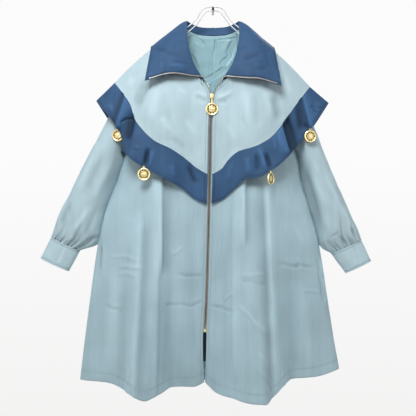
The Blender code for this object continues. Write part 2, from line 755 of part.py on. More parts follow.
def cape_rails(necks):
    """Neck, seam and edge of the whole cape, from the right zip edge round the back to the left one."""
    front_shares = np.linspace(0, 1, CAPE_STEPS + 1)
    back_shares = np.linspace(0, 1, CAPE_BACK_STEPS + 1)
    fronts = {side: smooth_through(np.linspace(0, 1, len(CAPE_ROWS[side])), CAPE_ROWS[side], front_shares)
              for side in (RIGHT, LEFT)}
    back_rows = (CAPE_ROWS[RIGHT][-1],) + CAPE_BACK_ROWS + (CAPE_ROWS[LEFT][-1],)
    back = smooth_through(np.linspace(0, 1, len(back_rows)), back_rows, back_shares)
    spread = np.concatenate([fronts[RIGHT], back[1:-1], fronts[LEFT][::-1]])
    last = len(NECK_ROWS) - 1
    places = np.concatenate([front_shares * NECK_POINT,
                             NECK_POINT + (last - NECK_POINT) * back_shares[1:CAPE_BACK_STEPS // 2 + 1] * 2])
    right = necks[RIGHT].moved(places, CAPE_LIFT, 0)
    left = necks[LEFT].moved(places[:-1][::-1], CAPE_LIFT, 0)
    return np.concatenate([right, left]), spread[:, :3], spread[:, 3:]


def cape_grid(necks):
    """The whole cape with its band, from the neck to the band's free edge."""
    neck, seam, edge = cape_rails(necks)
    ways = np.linspace(0, 1, CAPE_ROWS_DOWN + 1)
    light = neck[:, None] + (seam - neck)[:, None] * ways[None, :, None]
    to_ridge = np.linspace(0, 1, CAPE_STEPS + 1)
    over_back = np.linspace(-1, 1, CAPE_BACK_STEPS + 1)[1:-1]
    ridge_share = np.concatenate([to_ridge, np.abs(over_back), to_ridge[::-1]])
    push = np.concatenate([np.ones(CAPE_STEPS + 1), -np.ones(len(over_back)), np.ones(CAPE_STEPS + 1)])
    arch = np.sin(math.pi * ways ** CAPE_ARCH_SKEW)[None, :]
    light[..., 1] -= CAPE_RIDGE_LIFT * arch * (ridge_share ** 2)[:, None]
    shoulder = np.sin(math.pi * np.clip((ridge_share - CAPE_BULGE_START) / (1 - CAPE_BULGE_START), 0, 1))
    light[..., 2] += CAPE_SHOULDER_BULGE * arch * (push * shoulder)[:, None]
    band_ways = np.linspace(0, 1, BAND_ROWS_DOWN + 1)[1:]
    dark = seam[:, None] + (edge - seam)[:, None] * band_ways[None, :, None]
    grid = np.concatenate([light, dark], axis=1)
    grid[:CAPE_STEPS + 1] = follow_zip(RIGHT, grid[:CAPE_STEPS + 1])
    grid[-CAPE_STEPS - 1:] = follow_zip(LEFT, grid[-CAPE_STEPS - 1:][::-1])[::-1]
    return grid


def follow_zip(side, points):
    """Bring a cape front's edge beside the zip, easing back into the panel."""
    drop = points[0, :, 1]
    across, out = zip_edge(side, drop)
    low, high = CAPE_MARGIN_DROPS
    margin = CAPE_ZIP_MARGIN + (CAPE_NECK_MARGIN - CAPE_ZIP_MARGIN) * ease((high - drop) / (high - low))
    shift = triple(across + side * margin, drop, out + CAPE_LIFT) - points[0]
    fade = ease(1 - np.linspace(0, ZIP_FADES, len(points)))
    return points + shift[None] * fade[:, None, None]


def cape_sheets(necks, body):
    """The cape's light panels and its navy bands, cut from one grid that is lifted clear of the body."""
    whole = Sheet("cape", cape_grid(necks), "dusty_blue", CLOTH)
    share_normals([whole])
    grid = lift_clear(whole.points, whole.normals, body, CAPE_CLEAR)
    ridge = CAPE_STEPS
    far_ridge = CAPE_STEPS + CAPE_BACK_STEPS
    spans = {"right": slice(0, ridge + 1), "back": slice(ridge, far_ridge + 1),
             "left": slice(far_ridge, None)}
    ends = {"right": ("last",), "back": ("first", "last"), "left": ("first",)}
    sheets = []
    for name, span in spans.items():
        seams = tuple(("rows", end) for end in ends[name])
        sheets.append(Sheet("cape_" + name, grid[span, :CAPE_ROWS_DOWN + 1], "dusty_blue", CLOTH,
                            seams=seams + (("columns", "last"),)))
        sheets.append(Sheet("band_" + name, grid[span, CAPE_ROWS_DOWN:], "navy", CLOTH,
                            seams=seams + (("columns", "first"),)))
    share_normals(sheets)
    return sheets


# Collar

def collar_half(side, neck):
    """Collar half from the zip to the centre back, and from the neck seam over the roll to its edge."""
    rows = np.array(COLLAR_ROWS, float)
    rows[:, [0, 3, 6]] *= side
    rails = smooth_through(np.arange(len(rows)), rows, neck.places)
    foot = neck.moved(neck.places, 0, SEAM + COLLAR_CLOTH)
    rise = rails[:, 0:3] - foot
    lean = np.minimum((rise * neck.inwards).sum(axis=1, keepdims=True), 0)
    stand = foot + unit(rise - neck.inwards * lean) * COLLAR_STAND
    stations = np.stack([foot, stand, rails[:, 0:3], rails[:, 3:6], rails[:, 6:9]])
    ways = np.concatenate([COLLAR_KEYS[:2], np.linspace(COLLAR_KEYS[2], 1, COLLAR_LEAF_STEPS + 1)])
    return np.swapaxes(smooth_through(COLLAR_KEYS, stations, ways), 0, 1)


def collar_sheets(necks, cape):
    """Both halves of the collar, cut from one grid whose leaves are lifted clear of the cape."""
    right, left = (collar_half(side, necks[side]) for side in (RIGHT, LEFT))
    whole = Sheet("collar", np.concatenate([right, left[::-1][1:]]), "navy", COLLAR_CLOTH)
    share_normals([whole])
    grid = whole.points.copy()
    grid[:, 2:] = lift_clear(grid[:, 2:], whole.normals[:, 2:], cape, COLLAR_CLEAR)
    centre = len(right) - 1
    halves = {RIGHT: Sheet("collar_right", grid[:centre + 1], "navy", COLLAR_CLOTH,
                           seams=(("rows", "last"),)),
              LEFT: Sheet("collar_left", grid[centre:], "navy", COLLAR_CLOTH, seams=(("rows", "first"),))}
    share_normals(list(halves.values()))
    return halves


# Zip and charms

def swept_strip(name, path, wide, high, width, height, material):
    """A strip of oblong section along a path of points."""
    corners = ((-1, -1), (1, -1), (1, 1), (-1, 1))
    rings = [path + wide * (width / 2 * right) + high * (height / 2 * up) for right, up in corners]
    points = np.stack(rings, axis=1).reshape(-1, 3)
    count = len(path)
    faces = [(0, 1, 2, 3), tuple(4 * (count - 1) + corner for corner in (3, 2, 1, 0))]
    for step in range(count - 1):
        for corner in range(4):
            after = (corner + 1) % 4
            faces.append((4 * step + corner, 4 * step + 4 + corner, 4 * step + 4 + after, 4 * step + after))
    return make_object(name, in_metres(points), faces, material)


def zip_chain(side, front, collar):
    """Half of the zip chain: up beside the front's edge, then on the collar's face along its edge."""
    edge, inside = (0, 1) if side == RIGHT else (-1, -2)
    rise = (front.moved(0)[0] + front.moved(-CLOTH)[0]) / 2
    above = np.argmax(rise[:, 1] < ZIP_BOX_DROP)
    share = (rise[above - 1, 1] - ZIP_BOX_DROP + SEAM) / (rise[above - 1, 1] - rise[above, 1])
    start = rise[above - 1] + (rise[above] - rise[above - 1]) * share
    rise = np.concatenate([start[None], rise[above:-1]])
    aside = unit(np.cross(front.normals[0, above - 1:-1], np.gradient(rise, axis=0))) * -side
    leaf = collar.moved(0)[edge]
    leaf = leaf + unit(collar.moved(0)[inside] - leaf) * CHAIN_DEPTH / 2
    leaf[-1] = leaf[-2] + (leaf[-1] - leaf[-2]) * CHAIN_END
    path = np.concatenate([rise + (0, 0, CHAIN_PROUD), leaf])
    wide = np.concatenate([aside, collar.normals[edge]])
    forward = unit(np.gradient(path, axis=0))
    wide = unit(wide - forward * (wide * forward).sum(axis=1, keepdims=True))
    high = np.cross(forward, wide)
    clearance = np.concatenate([np.full(len(rise), CHAIN_CLEARANCE),
                                np.full(len(leaf), CHAIN_COLLAR_CLEARANCE)])
    centre = path + wide * (clearance + CHAIN_WIDTH / 2)[:, None]
    return swept_strip("zip_" + SIDE_NAMES[side], centre, wide, high, CHAIN_WIDTH, CHAIN_DEPTH, "zip_brass")


def block(name, size, centre, material):
    """An upright block, in millimetres of across, down and out."""
    half = np.array([size[0], size[2], size[1]]) * MM / 2
    corners = [(x, y, z) for x in (-1, 1) for y in (-1, 1) for z in (-1, 1)]
    faces = [(0, 1, 3, 2), (4, 6, 7, 5), (0, 4, 5, 1), (2, 3, 7, 6), (0, 2, 6, 4), (1, 5, 7, 3)]
    thing = make_object(name, np.array(corners) * half, faces, material, in_metres(np.array(centre, float)))
    thing.data.set_sharp_from_angle(angle=math.radians(SHARP_DEGREES))
    return thing


def lathe(name, profile, sides, material, closed=False):
    """A turned shape round the Y axis, from rows of radius and Y; its ends are capped unless it closes up."""
    turns = np.arange(sides) * 2 * math.pi / sides
    vertices = []
    faces = []
    for radius, along in profile:
        vertices += [(radius * math.cos(turn), along, radius * math.sin(turn)) for turn in turns]
    count = len(profile)
    for ring in range(count if closed else count - 1):
        after = (ring + 1) % count
        for step in range(sides):
            beside = (step + 1) % sides
            faces.append((ring * sides + step, ring * sides + beside,
                          after * sides + beside, after * sides + step))
    if not closed:
        faces.append(tuple(range(sides))[::-1])
        faces.append(tuple((count - 1) * sides + step for step in range(sides)))
    return make_object(name, np.array(vertices) * MM, faces, material)


def washer(name, outer, hole, width, sides, material):
    """A flat ring round the Y axis."""
    profile = ((outer, -width / 2), (outer, width / 2), (hole, width / 2), (hole, -width / 2))
    return lathe(name, profile, sides, material, closed=True)


def medallion(name, drop):
    """A medallion that hangs by its top: turned, with a raised rim, a sunk ring and a boss."""
    profile = [(radius, -front) for radius, front in MEDAL_PROFILE] + [(MEDAL_RADIUS, MEDAL_BACK)]
    disc = lathe(name, profile, MEDAL_SIDES, "gold")
    disc.data.transform(Matrix.Translation((0, 0, -drop * MM)))
    return disc


def charm(sheets, name, band, across, faces, front):
    """A medallion with a sewing loop that hangs beside the band's edge, in front of it or behind."""
    edge = (sheets[band].moved(0)[:, -1] + sheets[band].moved(-CLOTH)[:, -1]) / 2
    order = np.argsort(edge[:, 0])
    here = read_straight(edge[order, 0], edge[order], across)
    yaw = math.radians(faces)
    ahead = np.array([math.sin(yaw), 0, math.cos(yaw)]) * front
    walls = [sheet.wall_tree() for sheet in sheets.values()]
    disc = medallion(name, LOOP_RADIUS - LOOP_OVERLAP + MEDAL_RADIUS)
    loop = washer(name + "_loop", LOOP_RADIUS, LOOP_HOLE, LOOP_WIDTH, LOOP_SIDES, "gold")
    union(disc, loop)
    turn = Matrix.Rotation(yaw, 3, "Z")
    shapes = [([turn @ vertex.co for vertex in thing.data.vertices],
               [tuple(face.vertices) for face in thing.data.polygons]) for thing in (disc, loop)]
    while charm_touches(walls, shapes, Vector(in_metres(here))):
        here = here + ahead * CHARM_STEP
    for thing in (disc, loop):
        thing.location = in_metres(here)
        thing.rotation_euler = (0, 0, yaw)


def charm_touches(walls, shapes, here):
    """Whether a charm's shapes at a place touch the cloth or come too near it."""
    for points, faces in shapes:
        placed = [here + point for point in points]
        tree = BVHTree.FromPolygons(placed, faces)
        for wall in walls:
            if (tree.overlap(wall)
                    or min(wall.find_nearest(point)[3] for point in placed) < LOOP_CLEARANCE * MM):
                return True
    return False


def zip_hardware():
    """Slider with its pin, the pull with its medallion, and the box at the foot of the zip."""
    across, out = (float(value) for value in (read(ZIP_ROWS, ZIP_COLUMNS, "across", SLIDER_DROP),
                                              read(ZIP_ROWS, ZIP_COLUMNS, "out", SLIDER_DROP)))
    chain_face = out - CLOTH / 2 + CHAIN_PROUD + CHAIN_DEPTH / 2
    width, height, depth = SLIDER_SIZE
    plate_out = chain_face + SLIDER_CLEARANCE + depth / 2
    slider = block("zip_slider", SLIDER_SIZE, (across, SLIDER_DROP, plate_out), "gold")
    pin_out = plate_out + depth / 2 + PIN_STAND
    pin_drop = SLIDER_DROP + height / 4
    for end in (-1, 1):
        ear_across = across + end * (EAR_GAP + EAR_WIDTH / 2)
        ear_depth = PIN_STAND + 2 * PIN_RADIUS + EAR_ROOT
        ear = block("ear_%d" % end, (EAR_WIDTH, 4 * PIN_RADIUS, ear_depth),
                    (ear_across, pin_drop, pin_out + 2 * PIN_RADIUS - ear_depth / 2), "gold")
        union(slider, ear)
    pin_length = 2 * EAR_GAP + EAR_WIDTH
    pin = lathe("pin", ((PIN_RADIUS, -pin_length / 2), (PIN_RADIUS, pin_length / 2)), PIN_SIDES, "gold")
    pin.rotation_euler = (0, 0, math.pi / 2)
    pin.location = in_metres(np.array([across, pin_drop, pin_out]))
    union(slider, pin)
    pull = medallion("zip_pull", PULL_LENGTH)
    eye = washer("eye", EYE_RADIUS, EYE_HOLE, EYE_WIDTH, EYE_SIDES, "gold")
    eye.rotation_euler = (0, 0, math.pi / 2)
    stem_top = (EYE_RADIUS + EYE_HOLE) / 2
    stem_length = PULL_LENGTH - MEDAL_RADIUS + STEM_ROOT - stem_top
    stem = block("stem", (STEM_WIDTH, stem_length, STEM_DEPTH), (0, stem_top + stem_length / 2, 0), "gold")
    for thing in (eye, stem):
        union(pull, thing)
    for thing in (pull, eye):
        thing.location = in_metres(np.array([across, pin_drop, pin_out]))
    stem.location = in_metres(np.array([across, pin_drop + stem_top + stem_length / 2, pin_out]))
    box_across, box_out = (float(read(ZIP_ROWS, ZIP_COLUMNS, name, ZIP_BOX_DROP))
                           for name in ("across", "out"))
    block("zip_box", BOX_SIZE,
          (box_across, ZIP_BOX_DROP + BOX_SIZE[1] / 2, box_out - CLOTH / 2 + CHAIN_PROUD), "gold")


# Hanger

def hanger_route():
    """The closed route of the hanger's wire: over the crest and back under it."""
    neck = np.array(NECK_ROWS[NECK_POINT][:2], float)
    tip = np.array(SHOULDER_TIP[:2], float)
    slope = (tip - neck) / np.linalg.norm(tip - neck)
    under = np.array([-slope[1], slope[0]])
    ways = np.linspace(*WIRE_ARM_SHARES, WIRE_ARM_STEPS + 1)[:, None]
    upper_arm = neck + under * (WIRE_UNDER_SEAM + WIRE_FALL * ways) + (tip - neck) * ways
    lower_arm = upper_arm + under * WIRE_GAP
    turns = np.radians(WIRE_BEND_TURNS)[:, None]
    end = (upper_arm[-1] + lower_arm[-1]) / 2
    bend = end + WIRE_GAP / 2 * (slope * np.sin(turns) - under * np.cos(turns))
    half = np.concatenate([UPPER_WIRE, upper_arm, bend, lower_arm[::-1], LOWER_WIRE[::-1]])
    other = half[1:-1][::-1] * np.array([-1, 1])
    return np.concatenate([half, other])


def make_hanger():
    """Double-wire hanger as one closed wire."""
    route = hanger_route()
    curve = bpy.data.curves.new("hanger", "CURVE")
    curve.dimensions = "3D"
    curve.bevel_depth = WIRE_RADIUS * MM
    curve.bevel_resolution = WIRE_BEVEL
    spline = curve.splines.new("POLY")
    spline.points.add(len(route) - 1)
    spline.use_cyclic_u = True
    spline.use_smooth = True
    for point, (across, drop) in zip(spline.points, route):
        point.co = (*in_metres(np.array([across, drop, WIRE_OUT])), 1)
    curve.materials.append(MATERIALS["white_wire"])
    hanger = bpy.data.objects.new("hanger", curve)
    bpy.context.scene.collection.objects.link(hanger)


def make_peg():
    """Peg from the wall, held between the two wires at the hanger's crest."""
    corners = ((-PEG_BOTTOM[0] / 2, PEG_BOTTOM[1]), (PEG_BOTTOM[0] / 2, PEG_BOTTOM[1]),
               (PEG_TOP[0] / 2, PEG_TOP[1]), (-PEG_TOP[0] / 2, PEG_TOP[1]))
    vertices = [(x * MM, y * MM, z * MM) for y in (-PEG_LENGTH, 0) for x, z in corners]
    faces = [(0, 1, 2, 3), (7, 6, 5, 4), (0, 4, 5, 1), (1, 5, 6, 2), (2, 6, 7, 3), (3, 7, 4, 0)]
    peg = make_object("wall_peg", vertices, faces, "dark_steel")
    peg.data.set_sharp_from_angle(angle=math.radians(SHARP_DEGREES))


def make_coat():
    """Build every piece."""
    front_seams = (("rows", "last"), ("columns", "last"))
    back = Sheet("back", back_points(), "dusty_blue", CLOTH, turned=True,
                 seams=(("rows", "first"), ("rows", "last"), ("columns", "last")))
    fronts = {side: Sheet("front_" + SIDE_NAMES[side], front_points(side), "dusty_blue", CLOTH,
                          turned=side == RIGHT, seams=front_seams) for side in (RIGHT, LEFT)}
    body = [back, *fronts.values()]
    share_normals(body)
    for side, front in fronts.items():
        back_edge = 0 if side == RIGHT else -1
        ring = armhole_ring(front.points[-1], back.points[back_edge])
        outwards = armhole_ring(front.normals[-1], back.normals[back_edge])
        body.append(Sheet("sleeve_" + SIDE_NAMES[side], sleeve_points(side, ring, outwards), "dusty_blue",
                          CLOTH, turned=side == RIGHT, closed=True,
                          seams=(("columns", "first"), ("columns", "last"))))
    share_normals(body)
    lining = lining_sheet(back)
    share_normals([lining])
    necks = {side: Neck(side, fronts[side], back) for side in (RIGHT, LEFT)}
    cape = cape_sheets(necks, body)
    collars = collar_sheets(necks, cape)
    for sheet in [*body, lining, *cape, *collars.values()]:
        sheet.build()
    for side, collar in collars.items():
        zip_chain(side, fronts[side], collar)
        cuff = Sheet("cuff_" + SIDE_NAMES[side], cuff_points(side), "dusty_blue", CLOTH,
                     turned=side == RIGHT, closed=True)
        share_normals([cuff])
        cuff.build()
    zip_hardware()
    sheets = {sheet.name: sheet for sheet in body + cape}
    for row in CHARM_ROWS:
        charm(sheets, **dict(zip(CHARM_COLUMNS, row)))
    make_hanger()
    make_peg()


for old in list(bpy.data.objects):
    bpy.data.objects.remove(old, do_unlink=True)
MATERIALS = {name: make_material(name) for name in COLOURS}
make_coat()
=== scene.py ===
"""Looks of a zip-up swing coat with a shoulder cape, on its wire hanger.

Each cloth piece is a thin shell that follows the outer side of its CAD wall, made finer and creased.
Tables are in millimetres: "across" runs to the wearer's left (+X), "drop" runs down from the peg (-Z) and
"out" runs out from the wall (-Y). Left and right are the wearer's.
"""

import itertools
import json
import math

import bmesh
import bpy
import numpy as np
from mathutils import Matrix, Vector, noise
from mathutils.bvhtree import BVHTree


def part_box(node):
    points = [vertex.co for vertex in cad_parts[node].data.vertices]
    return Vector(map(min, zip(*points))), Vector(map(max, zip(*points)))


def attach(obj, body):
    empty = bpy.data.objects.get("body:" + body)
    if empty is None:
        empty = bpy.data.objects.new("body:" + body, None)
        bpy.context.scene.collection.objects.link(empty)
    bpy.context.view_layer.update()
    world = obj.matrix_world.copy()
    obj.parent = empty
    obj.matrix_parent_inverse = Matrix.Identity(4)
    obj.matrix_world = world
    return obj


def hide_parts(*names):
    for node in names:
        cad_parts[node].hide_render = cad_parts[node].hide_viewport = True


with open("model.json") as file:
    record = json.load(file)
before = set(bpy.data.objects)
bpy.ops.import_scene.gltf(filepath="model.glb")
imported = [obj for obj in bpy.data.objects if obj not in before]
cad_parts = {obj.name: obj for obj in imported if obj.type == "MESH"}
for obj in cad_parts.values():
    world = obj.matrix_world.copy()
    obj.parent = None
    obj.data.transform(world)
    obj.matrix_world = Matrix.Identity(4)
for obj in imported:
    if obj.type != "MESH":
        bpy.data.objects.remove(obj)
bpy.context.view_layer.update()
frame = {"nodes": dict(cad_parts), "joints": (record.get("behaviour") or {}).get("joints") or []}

MM = 0.001
RIGHT = -1
LEFT = 1
SIDE_NAMES = {RIGHT: "right", LEFT: "left"}
COAT = "coat"

# Camera: the photograph is square, and its scale holds on a plane through the coat
PHOTO_PIXELS = 416
PIXEL_SIZE = 2.7
SCALE_PLANE_OUT = 120
CAMERA_DISTANCE = 2600
CAMERA_ACROSS = -13.7
CAMERA_DROP = 546.3
SENSOR = 36
FLOOR_DROP = 1500
FLOOR_REACH = 1600

# Cloth: its walls as in the CAD, and how they are read, made fine and rounded at their edges
CLOTH = 2.0
COLLAR_CLOTH = 2.4
LINING_CLOTH = 1.0
JOIN_DISTANCE = 1e-5
RIM_SHARE = 1.06
CORNER_USES = 3
WRAP = 3
SOFTENING = 8
EDGE_ROUNDING = 0.35

# How far cloth that lies on other cloth keeps off it, and how softly it is lifted there
CAPE_CLEAR = 3.2
COLLAR_CLEAR = 4.0
LIFT_REACH = 9
LIFT_SOFTENING = 6
LIFT_FACING = 0.75
LIFT_MOST = 7

# Names of the meshes' maps and marks
CUT_MAP = "cut"
# The fold mark carries painted shade in the cloth's hollows and painted highlight on its ridges
PAINTED_FOLD_SHADE = "fold"
PATINA = "patina"
# The wire's side mark carries painted shade on the hanger wire's sides
WIRE_SIDE_SHADE = "rubbed"
OUTWARD = "outward"

# Painted shade in hollows and painted highlight on ridges: tone factors of each cloth, for folds as deep or
# high as the range
FOLD_RANGE = 6.0
BLUE_FOLD_SHADE = (0.74, 1.26)
BODY_FOLD_SHADE = (0.79, 1.35)
NAVY_FOLD_SHADE = (0.36, 1.64)
LINING_FOLD_SHADE = (0.28, 1.46)

# Directions in across, drop and out; aside is to a piece's own side
AHEAD = (0, 0, 1)
BEHIND = (0, 0, -1)
UP = (0, -1, 0)
DOWN = (0, 1, 0)
ASIDE = (1, 0, 0)
COLLAR_FACING = (0, -0.8, 0.5)
COLLAR_ASIDE = (1, 0.5, 0)

# Grids: wall, fine steps in a coarse one, which way the outer side looks, how both axes run, and free edges
PAIRED = ("front", "sleeve", "cuff", "cape", "band", "collar")
SINGLE = ("back", "lining", "cape_back", "band_back")
GRIDS = {
    "front": (CLOTH, (7, 17), AHEAD, ASIDE, UP, (("columns", 0),)),
    "sleeve": (CLOTH, (6, 11)),
    "cuff": (CLOTH, (6, 16)),
    "cape": (CLOTH, (5, 14), AHEAD, ASIDE, DOWN),
    "band": (CLOTH, (9, 18), AHEAD, ASIDE, DOWN, (("columns", 1),)),
    "collar": (COLLAR_CLOTH, (8, 8), COLLAR_FACING, BEHIND, COLLAR_ASIDE, (("columns", 1),)),
    "back": (CLOTH, (4, 10), BEHIND, ASIDE, UP, (("columns", 0),)),
    "lining": (LINING_CLOTH, (8, 8), AHEAD, ASIDE, UP),
    "cape_back": (CLOTH, (4, 10), BEHIND, ASIDE, DOWN),
    "band_back": (CLOTH, (6, 14), BEHIND, ASIDE, DOWN, (("columns", 1),))}

# How creases are shaped, how they fade and waver, and how strongly each kind of piece is creased
CALM_STEPS = {"band": 2}
USUAL_CALM_STEPS = 6
CREASE_FADE = 0.16
BROAD_FADE = 0.34
CREASE_HOLLOW = 0.6
CREASE_TURN = 0.3
THIN_CREASE = 5.0
WAVER = (1.5, 8.0)
CREASE_GAINS = {"sleeve": 1.5, "lining": 1.6, "cape": 1.2, "band": 1.15}
PLEAT_STEP = 3.0
LAP_SLIPS = {"band": 0.9}
# Painted highlight along the cape's pressed lower edge: how much lighter, and how far in it reaches
PAINTED_EDGE_HIGHLIGHT = (5.0, 4.0)

# Creases: from and to in across and drop, reach, height (a trough is below nothing) and the line's bow
CREASES = {
    "front_right": (
        (-90, 520, -96, 1000, 20, 2.2, 5), (-60, 540, -52, 1010, 16, -1.8, 0),
        (-262, 640, -282, 1040, 18, 2.4, 0), (-238, 700, -246, 1050, 13, -2, 0),
        (-114, 670, -79, 648, 3.6, 2.4, 2), (-277, 676, -196, 683, 3.6, 2.5, -3),
        (-256, 700, -181, 701, 3.6, 3, 2), (-256, 722, -199, 725, 3.6, 2.5, -2),
        (-196, 702, -180, 713, 8, 1.1, 0), (-192, 760, -175, 768, 8, 0.9, 0),
        (-96, 721, -27, 727, 3.6, -2.8, 3), (-127, 805, -68, 805, 3.6, -2.8, -2),
        (-83, 807, -19, 793, 3.6, -2.8, 5), (-289, 806, -242, 822, 3.6, -3.1, 3),
        (-226, 952, -232, 1058, 3.6, 2.4, 0), (-217, 963, -219, 1062, 3.6, -2.2, 0),
        (-207, 946, -207, 1059, 3.6, 2.1, 0), (-305, 634, -308, 730, 5, -6, 0)),
    "front_left": (
        (56, 560, 58, 1000, 15, 2, 0), (30, 600, 26, 1000, 13, -1.6, 0), (215, 578, 255, 660, 9, 1.7, 3),
        (236, 700, 262, 1040, 17, 2.2, 0), (204, 690, 222, 1040, 14, -2, 0),
        (67, 724, 142, 722, 3.6, 2.5, -2), (70, 735, 145, 745, 3.6, -2.4, 2),
        (28, 790, 54, 768, 3.6, 2.2, 0), (-19, 801, 62, 819, 3.6, -2.8, 3),
        (62, 794, 143, 871, 3.6, 3.4, 3), (99, 843, 147, 882, 3.6, 2.5, 0),
        (115, 922, 158, 962, 3.6, 2.5, 2), (120, 963, 162, 1018, 3.6, 2.4, 0),
        (138, 1006, 160, 1048, 3.6, 2.2, 0), (165, 695, 272, 704, 3.6, -2.8, 3),
        (224, 676, 242, 707, 3.6, 2.4, 0), (234, 704, 248, 714, 3.6, 2.2, 0),
        (220, 706, 234, 690, 3.6, -1.8, 0), (235, 770, 292, 773, 3.6, 2.2, -2),
        (283, 674, 302, 808, 3.6, -2.4, 2), (294, 684, 309, 816, 3.6, 2.4, 0),
        (181, 973, 191, 1029, 3.6, 2.2, 0), (204, 965, 215, 1050, 3.6, -2.2, 0)),
    "back": (
        (-150, 500, -168, 1010, 20, 3, 5), (-115, 520, -122, 1000, 15, -2.4, 0),
        (60, 520, 70, 1010, 19, 2.8, -4), (98, 530, 112, 1000, 14, -2.4, 0),
        (205, 560, 232, 1030, 18, 2.4, 0), (-230, 600, -252, 1040, 17, 2.2, 0),
        (-213, 699, -107, 707, 3.6, 2.8, 3), (-101, 725, -9, 719, 3.6, -2.5, -3),
        (27, 717, 133, 727, 3.6, 2.8, 2), (137, 703, 243, 697, 3.6, -2.5, -3),
        (-74, 807, 44, 817, 3.6, -2.8, 4), (59, 796, 151, 876, 3.6, 3.3, 3),
        (-220, 814, -140, 798, 3.6, -3, -3), (-146, 922, -99, 988, 3.6, 2.5, 0),
        (114, 930, 161, 1010, 3.6, 2.5, 0), (189, 947, 197, 1053, 3.6, -2.4, 0),
        (-219, 946, -227, 1059, 3.6, 2.4, 0)),
    "cape_right": (
        (-172, 196, -210, 290, 17, -5.5, 3), (-150, 225, -165, 330, 16, 2.2, 0),
        (-139, 303, -108, 350, 9, 1.5, 3), (-120, 290, -92, 352, 8, -1.2, 3),
        (-75, 309, -46, 358, 9, 1.3, 0), (-52, 236, -12, 256, 8, 1.8, -2),
        (-52, 250, -14, 268, 8, -1.4, -2), (-95, 225, -60, 245, 9, 1.2, 3),
        (-120, 360, -70, 396, 11, -1.2, -4), (-215, 190, -236, 225, 12, 1.6, 0)),
    "cape_left": (
        (6, 256, 56, 232, 8, 2, 3), (6, 266, 44, 262, 8, -1.5, 0), (90, 230, 92, 350, 15, 1.7, 0),
        (116, 230, 120, 340, 10, -1.3, 0), (140, 215, 158, 320, 14, 1.8, 0),
        (162, 236, 180, 322, 15, -4.5, 0), (196, 170, 214, 250, 14, 1.6, 0),
        (40, 320, 62, 372, 9, 1.3, 3), (70, 300, 96, 352, 8, -1.1, -3)),
    "cape_back": (
        (-120, 180, -160, 300, 15, 2, 4), (110, 190, 150, 306, 15, -2, -4),
        (-36, 250, 34, 246, 8, 1.3, 3), (-70, 200, -84, 330, 13, -1.6, 0),
        (52, 210, 66, 330, 13, 1.7, 0), (186, 200, 210, 270, 12, 1.6, 0),
        (-196, 210, -214, 280, 12, -1.6, 0)),
    "band_right": (
        (-250, 316, -214, 309, 4.5, -2.6, -4), (-214, 276, -234, 376, 15, -7.6, 0),
        (-284, 262, -270, 292, 9, 2.6, 0),
        (-212, 383, -190, 390, 5, 1.6, 0), (-171, 382, -182, 440, 8, -5.4, 0),
        (-160, 392, -168, 444, 8, 3.5, 0), (-67, 424, -42, 488, 9, -4.6, 3),
        (-110, 430, -102, 470, 9, 1.9, 0), (-276, 270, -266, 300, 6, 1.6, 0)),
    "band_left": (
        (264, 269, 298, 277, 4.5, -2.7, 2), (270, 282, 294, 288, 4.5, -2.3, 0),
        (268, 275, 296, 282, 4.5, 1.9, 0), (282, 252, 290, 300, 12, 2.4, 0),
        (226, 258, 240, 346, 11, -3.5, 0), (188, 276, 226, 418, 14, -7.6, 0),
        (174, 326, 190, 396, 12, 2.4, 0), (245, 318, 258, 330, 4.5, -2.2, 0),
        (161, 352, 168, 400, 6, 2.2, 0), (138, 396, 152, 448, 8, -5.1, 0),
        (120, 382, 142, 450, 9, 3.8, 0), (90, 405, 94, 462, 11, 3.2, 0),
        (114, 396, 118, 455, 8, -3.2, 0), (50, 420, 40, 478, 10, 2.2, 0)),
    "band_back": (
        (-150, 396, -158, 446, 8, -3.5, 0), (150, 392, 158, 442, 8, -3.5, 0),
        (0, 420, 4, 474, 9, -2.7, 0), (-72, 412, -64, 466, 9, 2.7, 0), (84, 408, 76, 462, 9, 2.7, 0),
        (-210, 350, -226, 400, 9, 2.7, 0), (214, 346, 230, 398, 9, 2.7, 0)),
    "collar_right": (
        (-163, 115, -116, 131, 8, -1.7, 0), (-132, 126, -80, 142, 8, -1.6, 0),
        (-114, 153, -58, 164, 8, -1.8, 2), (-126, 172, -64, 166, 8, 1.7, -2),
        (-138, 148, -136, 192, 7, 1.3, 0), (-102, 186, -58, 182, 7, -1.3, 2)),
    "collar_left": (
        (74, 153, 132, 131, 8, -1.9, 2), (80, 161, 122, 147, 8, 1.6, 0),
        (100, 178, 152, 171, 8, -1.5, 3), (150, 118, 160, 168, 9, 1.4, 0), (56, 128, 96, 106, 8, -1.6, 0)),
    "lining": (
        (-37, 202, 42, 151, 6.5, -4.6, 4), (20, 153, 54, 121, 7, -4.4, 0),
        (40, 129, 68, 74, 9, -5.5, -3), (8, 79, 66, 74, 4, -2.4, 2), (34, 166, 60, 118, 7, 1.9, 0),
        (-66, 73, -22, 97, 6.5, -4.2, -3),
        (-59, 78, -57, 124, 6.5, -4.2, 0), (-65, 112, -40, 175, 7.5, -3.5, 0), (7, 66, 2, 176, 3, -2.9, 0),
        (2.5, 160, -1, 245, 3, -2.9, 0)),
    "sleeve_right": (
        (-384, 520, -417, 604, 9, -2.6, 3), (-397, 520, -433, 606, 9, 1.8, 0),
        (-391, 536, -387, 574, 6, -1.6, 0), (-332, 538, -382, 616, 10, 2.2, -4),
        (-313, 536, -355, 634, 9, -2, -4), (-272, 415, -332, 540, 13, 2, 0),
        (-305, 363, -381, 527, 13, 1.8, 0), (-290, 392, -352, 520, 10, -1.6, 0),
        (-346, 642, -306, 621, 8, -2, 0)),
    "sleeve_left": (
        (259, 407, 350, 540, 13, 2.3, 0), (350, 536, 388, 613, 9, 2, 4), (283, 428, 334, 540, 10, -2, 0),
        (264, 432, 308, 556, 12, 1.6, 0), (232, 400, 302, 640, 14, -5, 0), (336, 617, 363, 648, 5, -2, 0),
        (317, 625, 344, 610, 5, -1.5, 2), (309, 631, 325, 662, 5, -1.7, 0),
        (374, 598, 390, 629, 5, -1.7, 0), (330, 480, 372, 560, 10, -1.5, 0))}

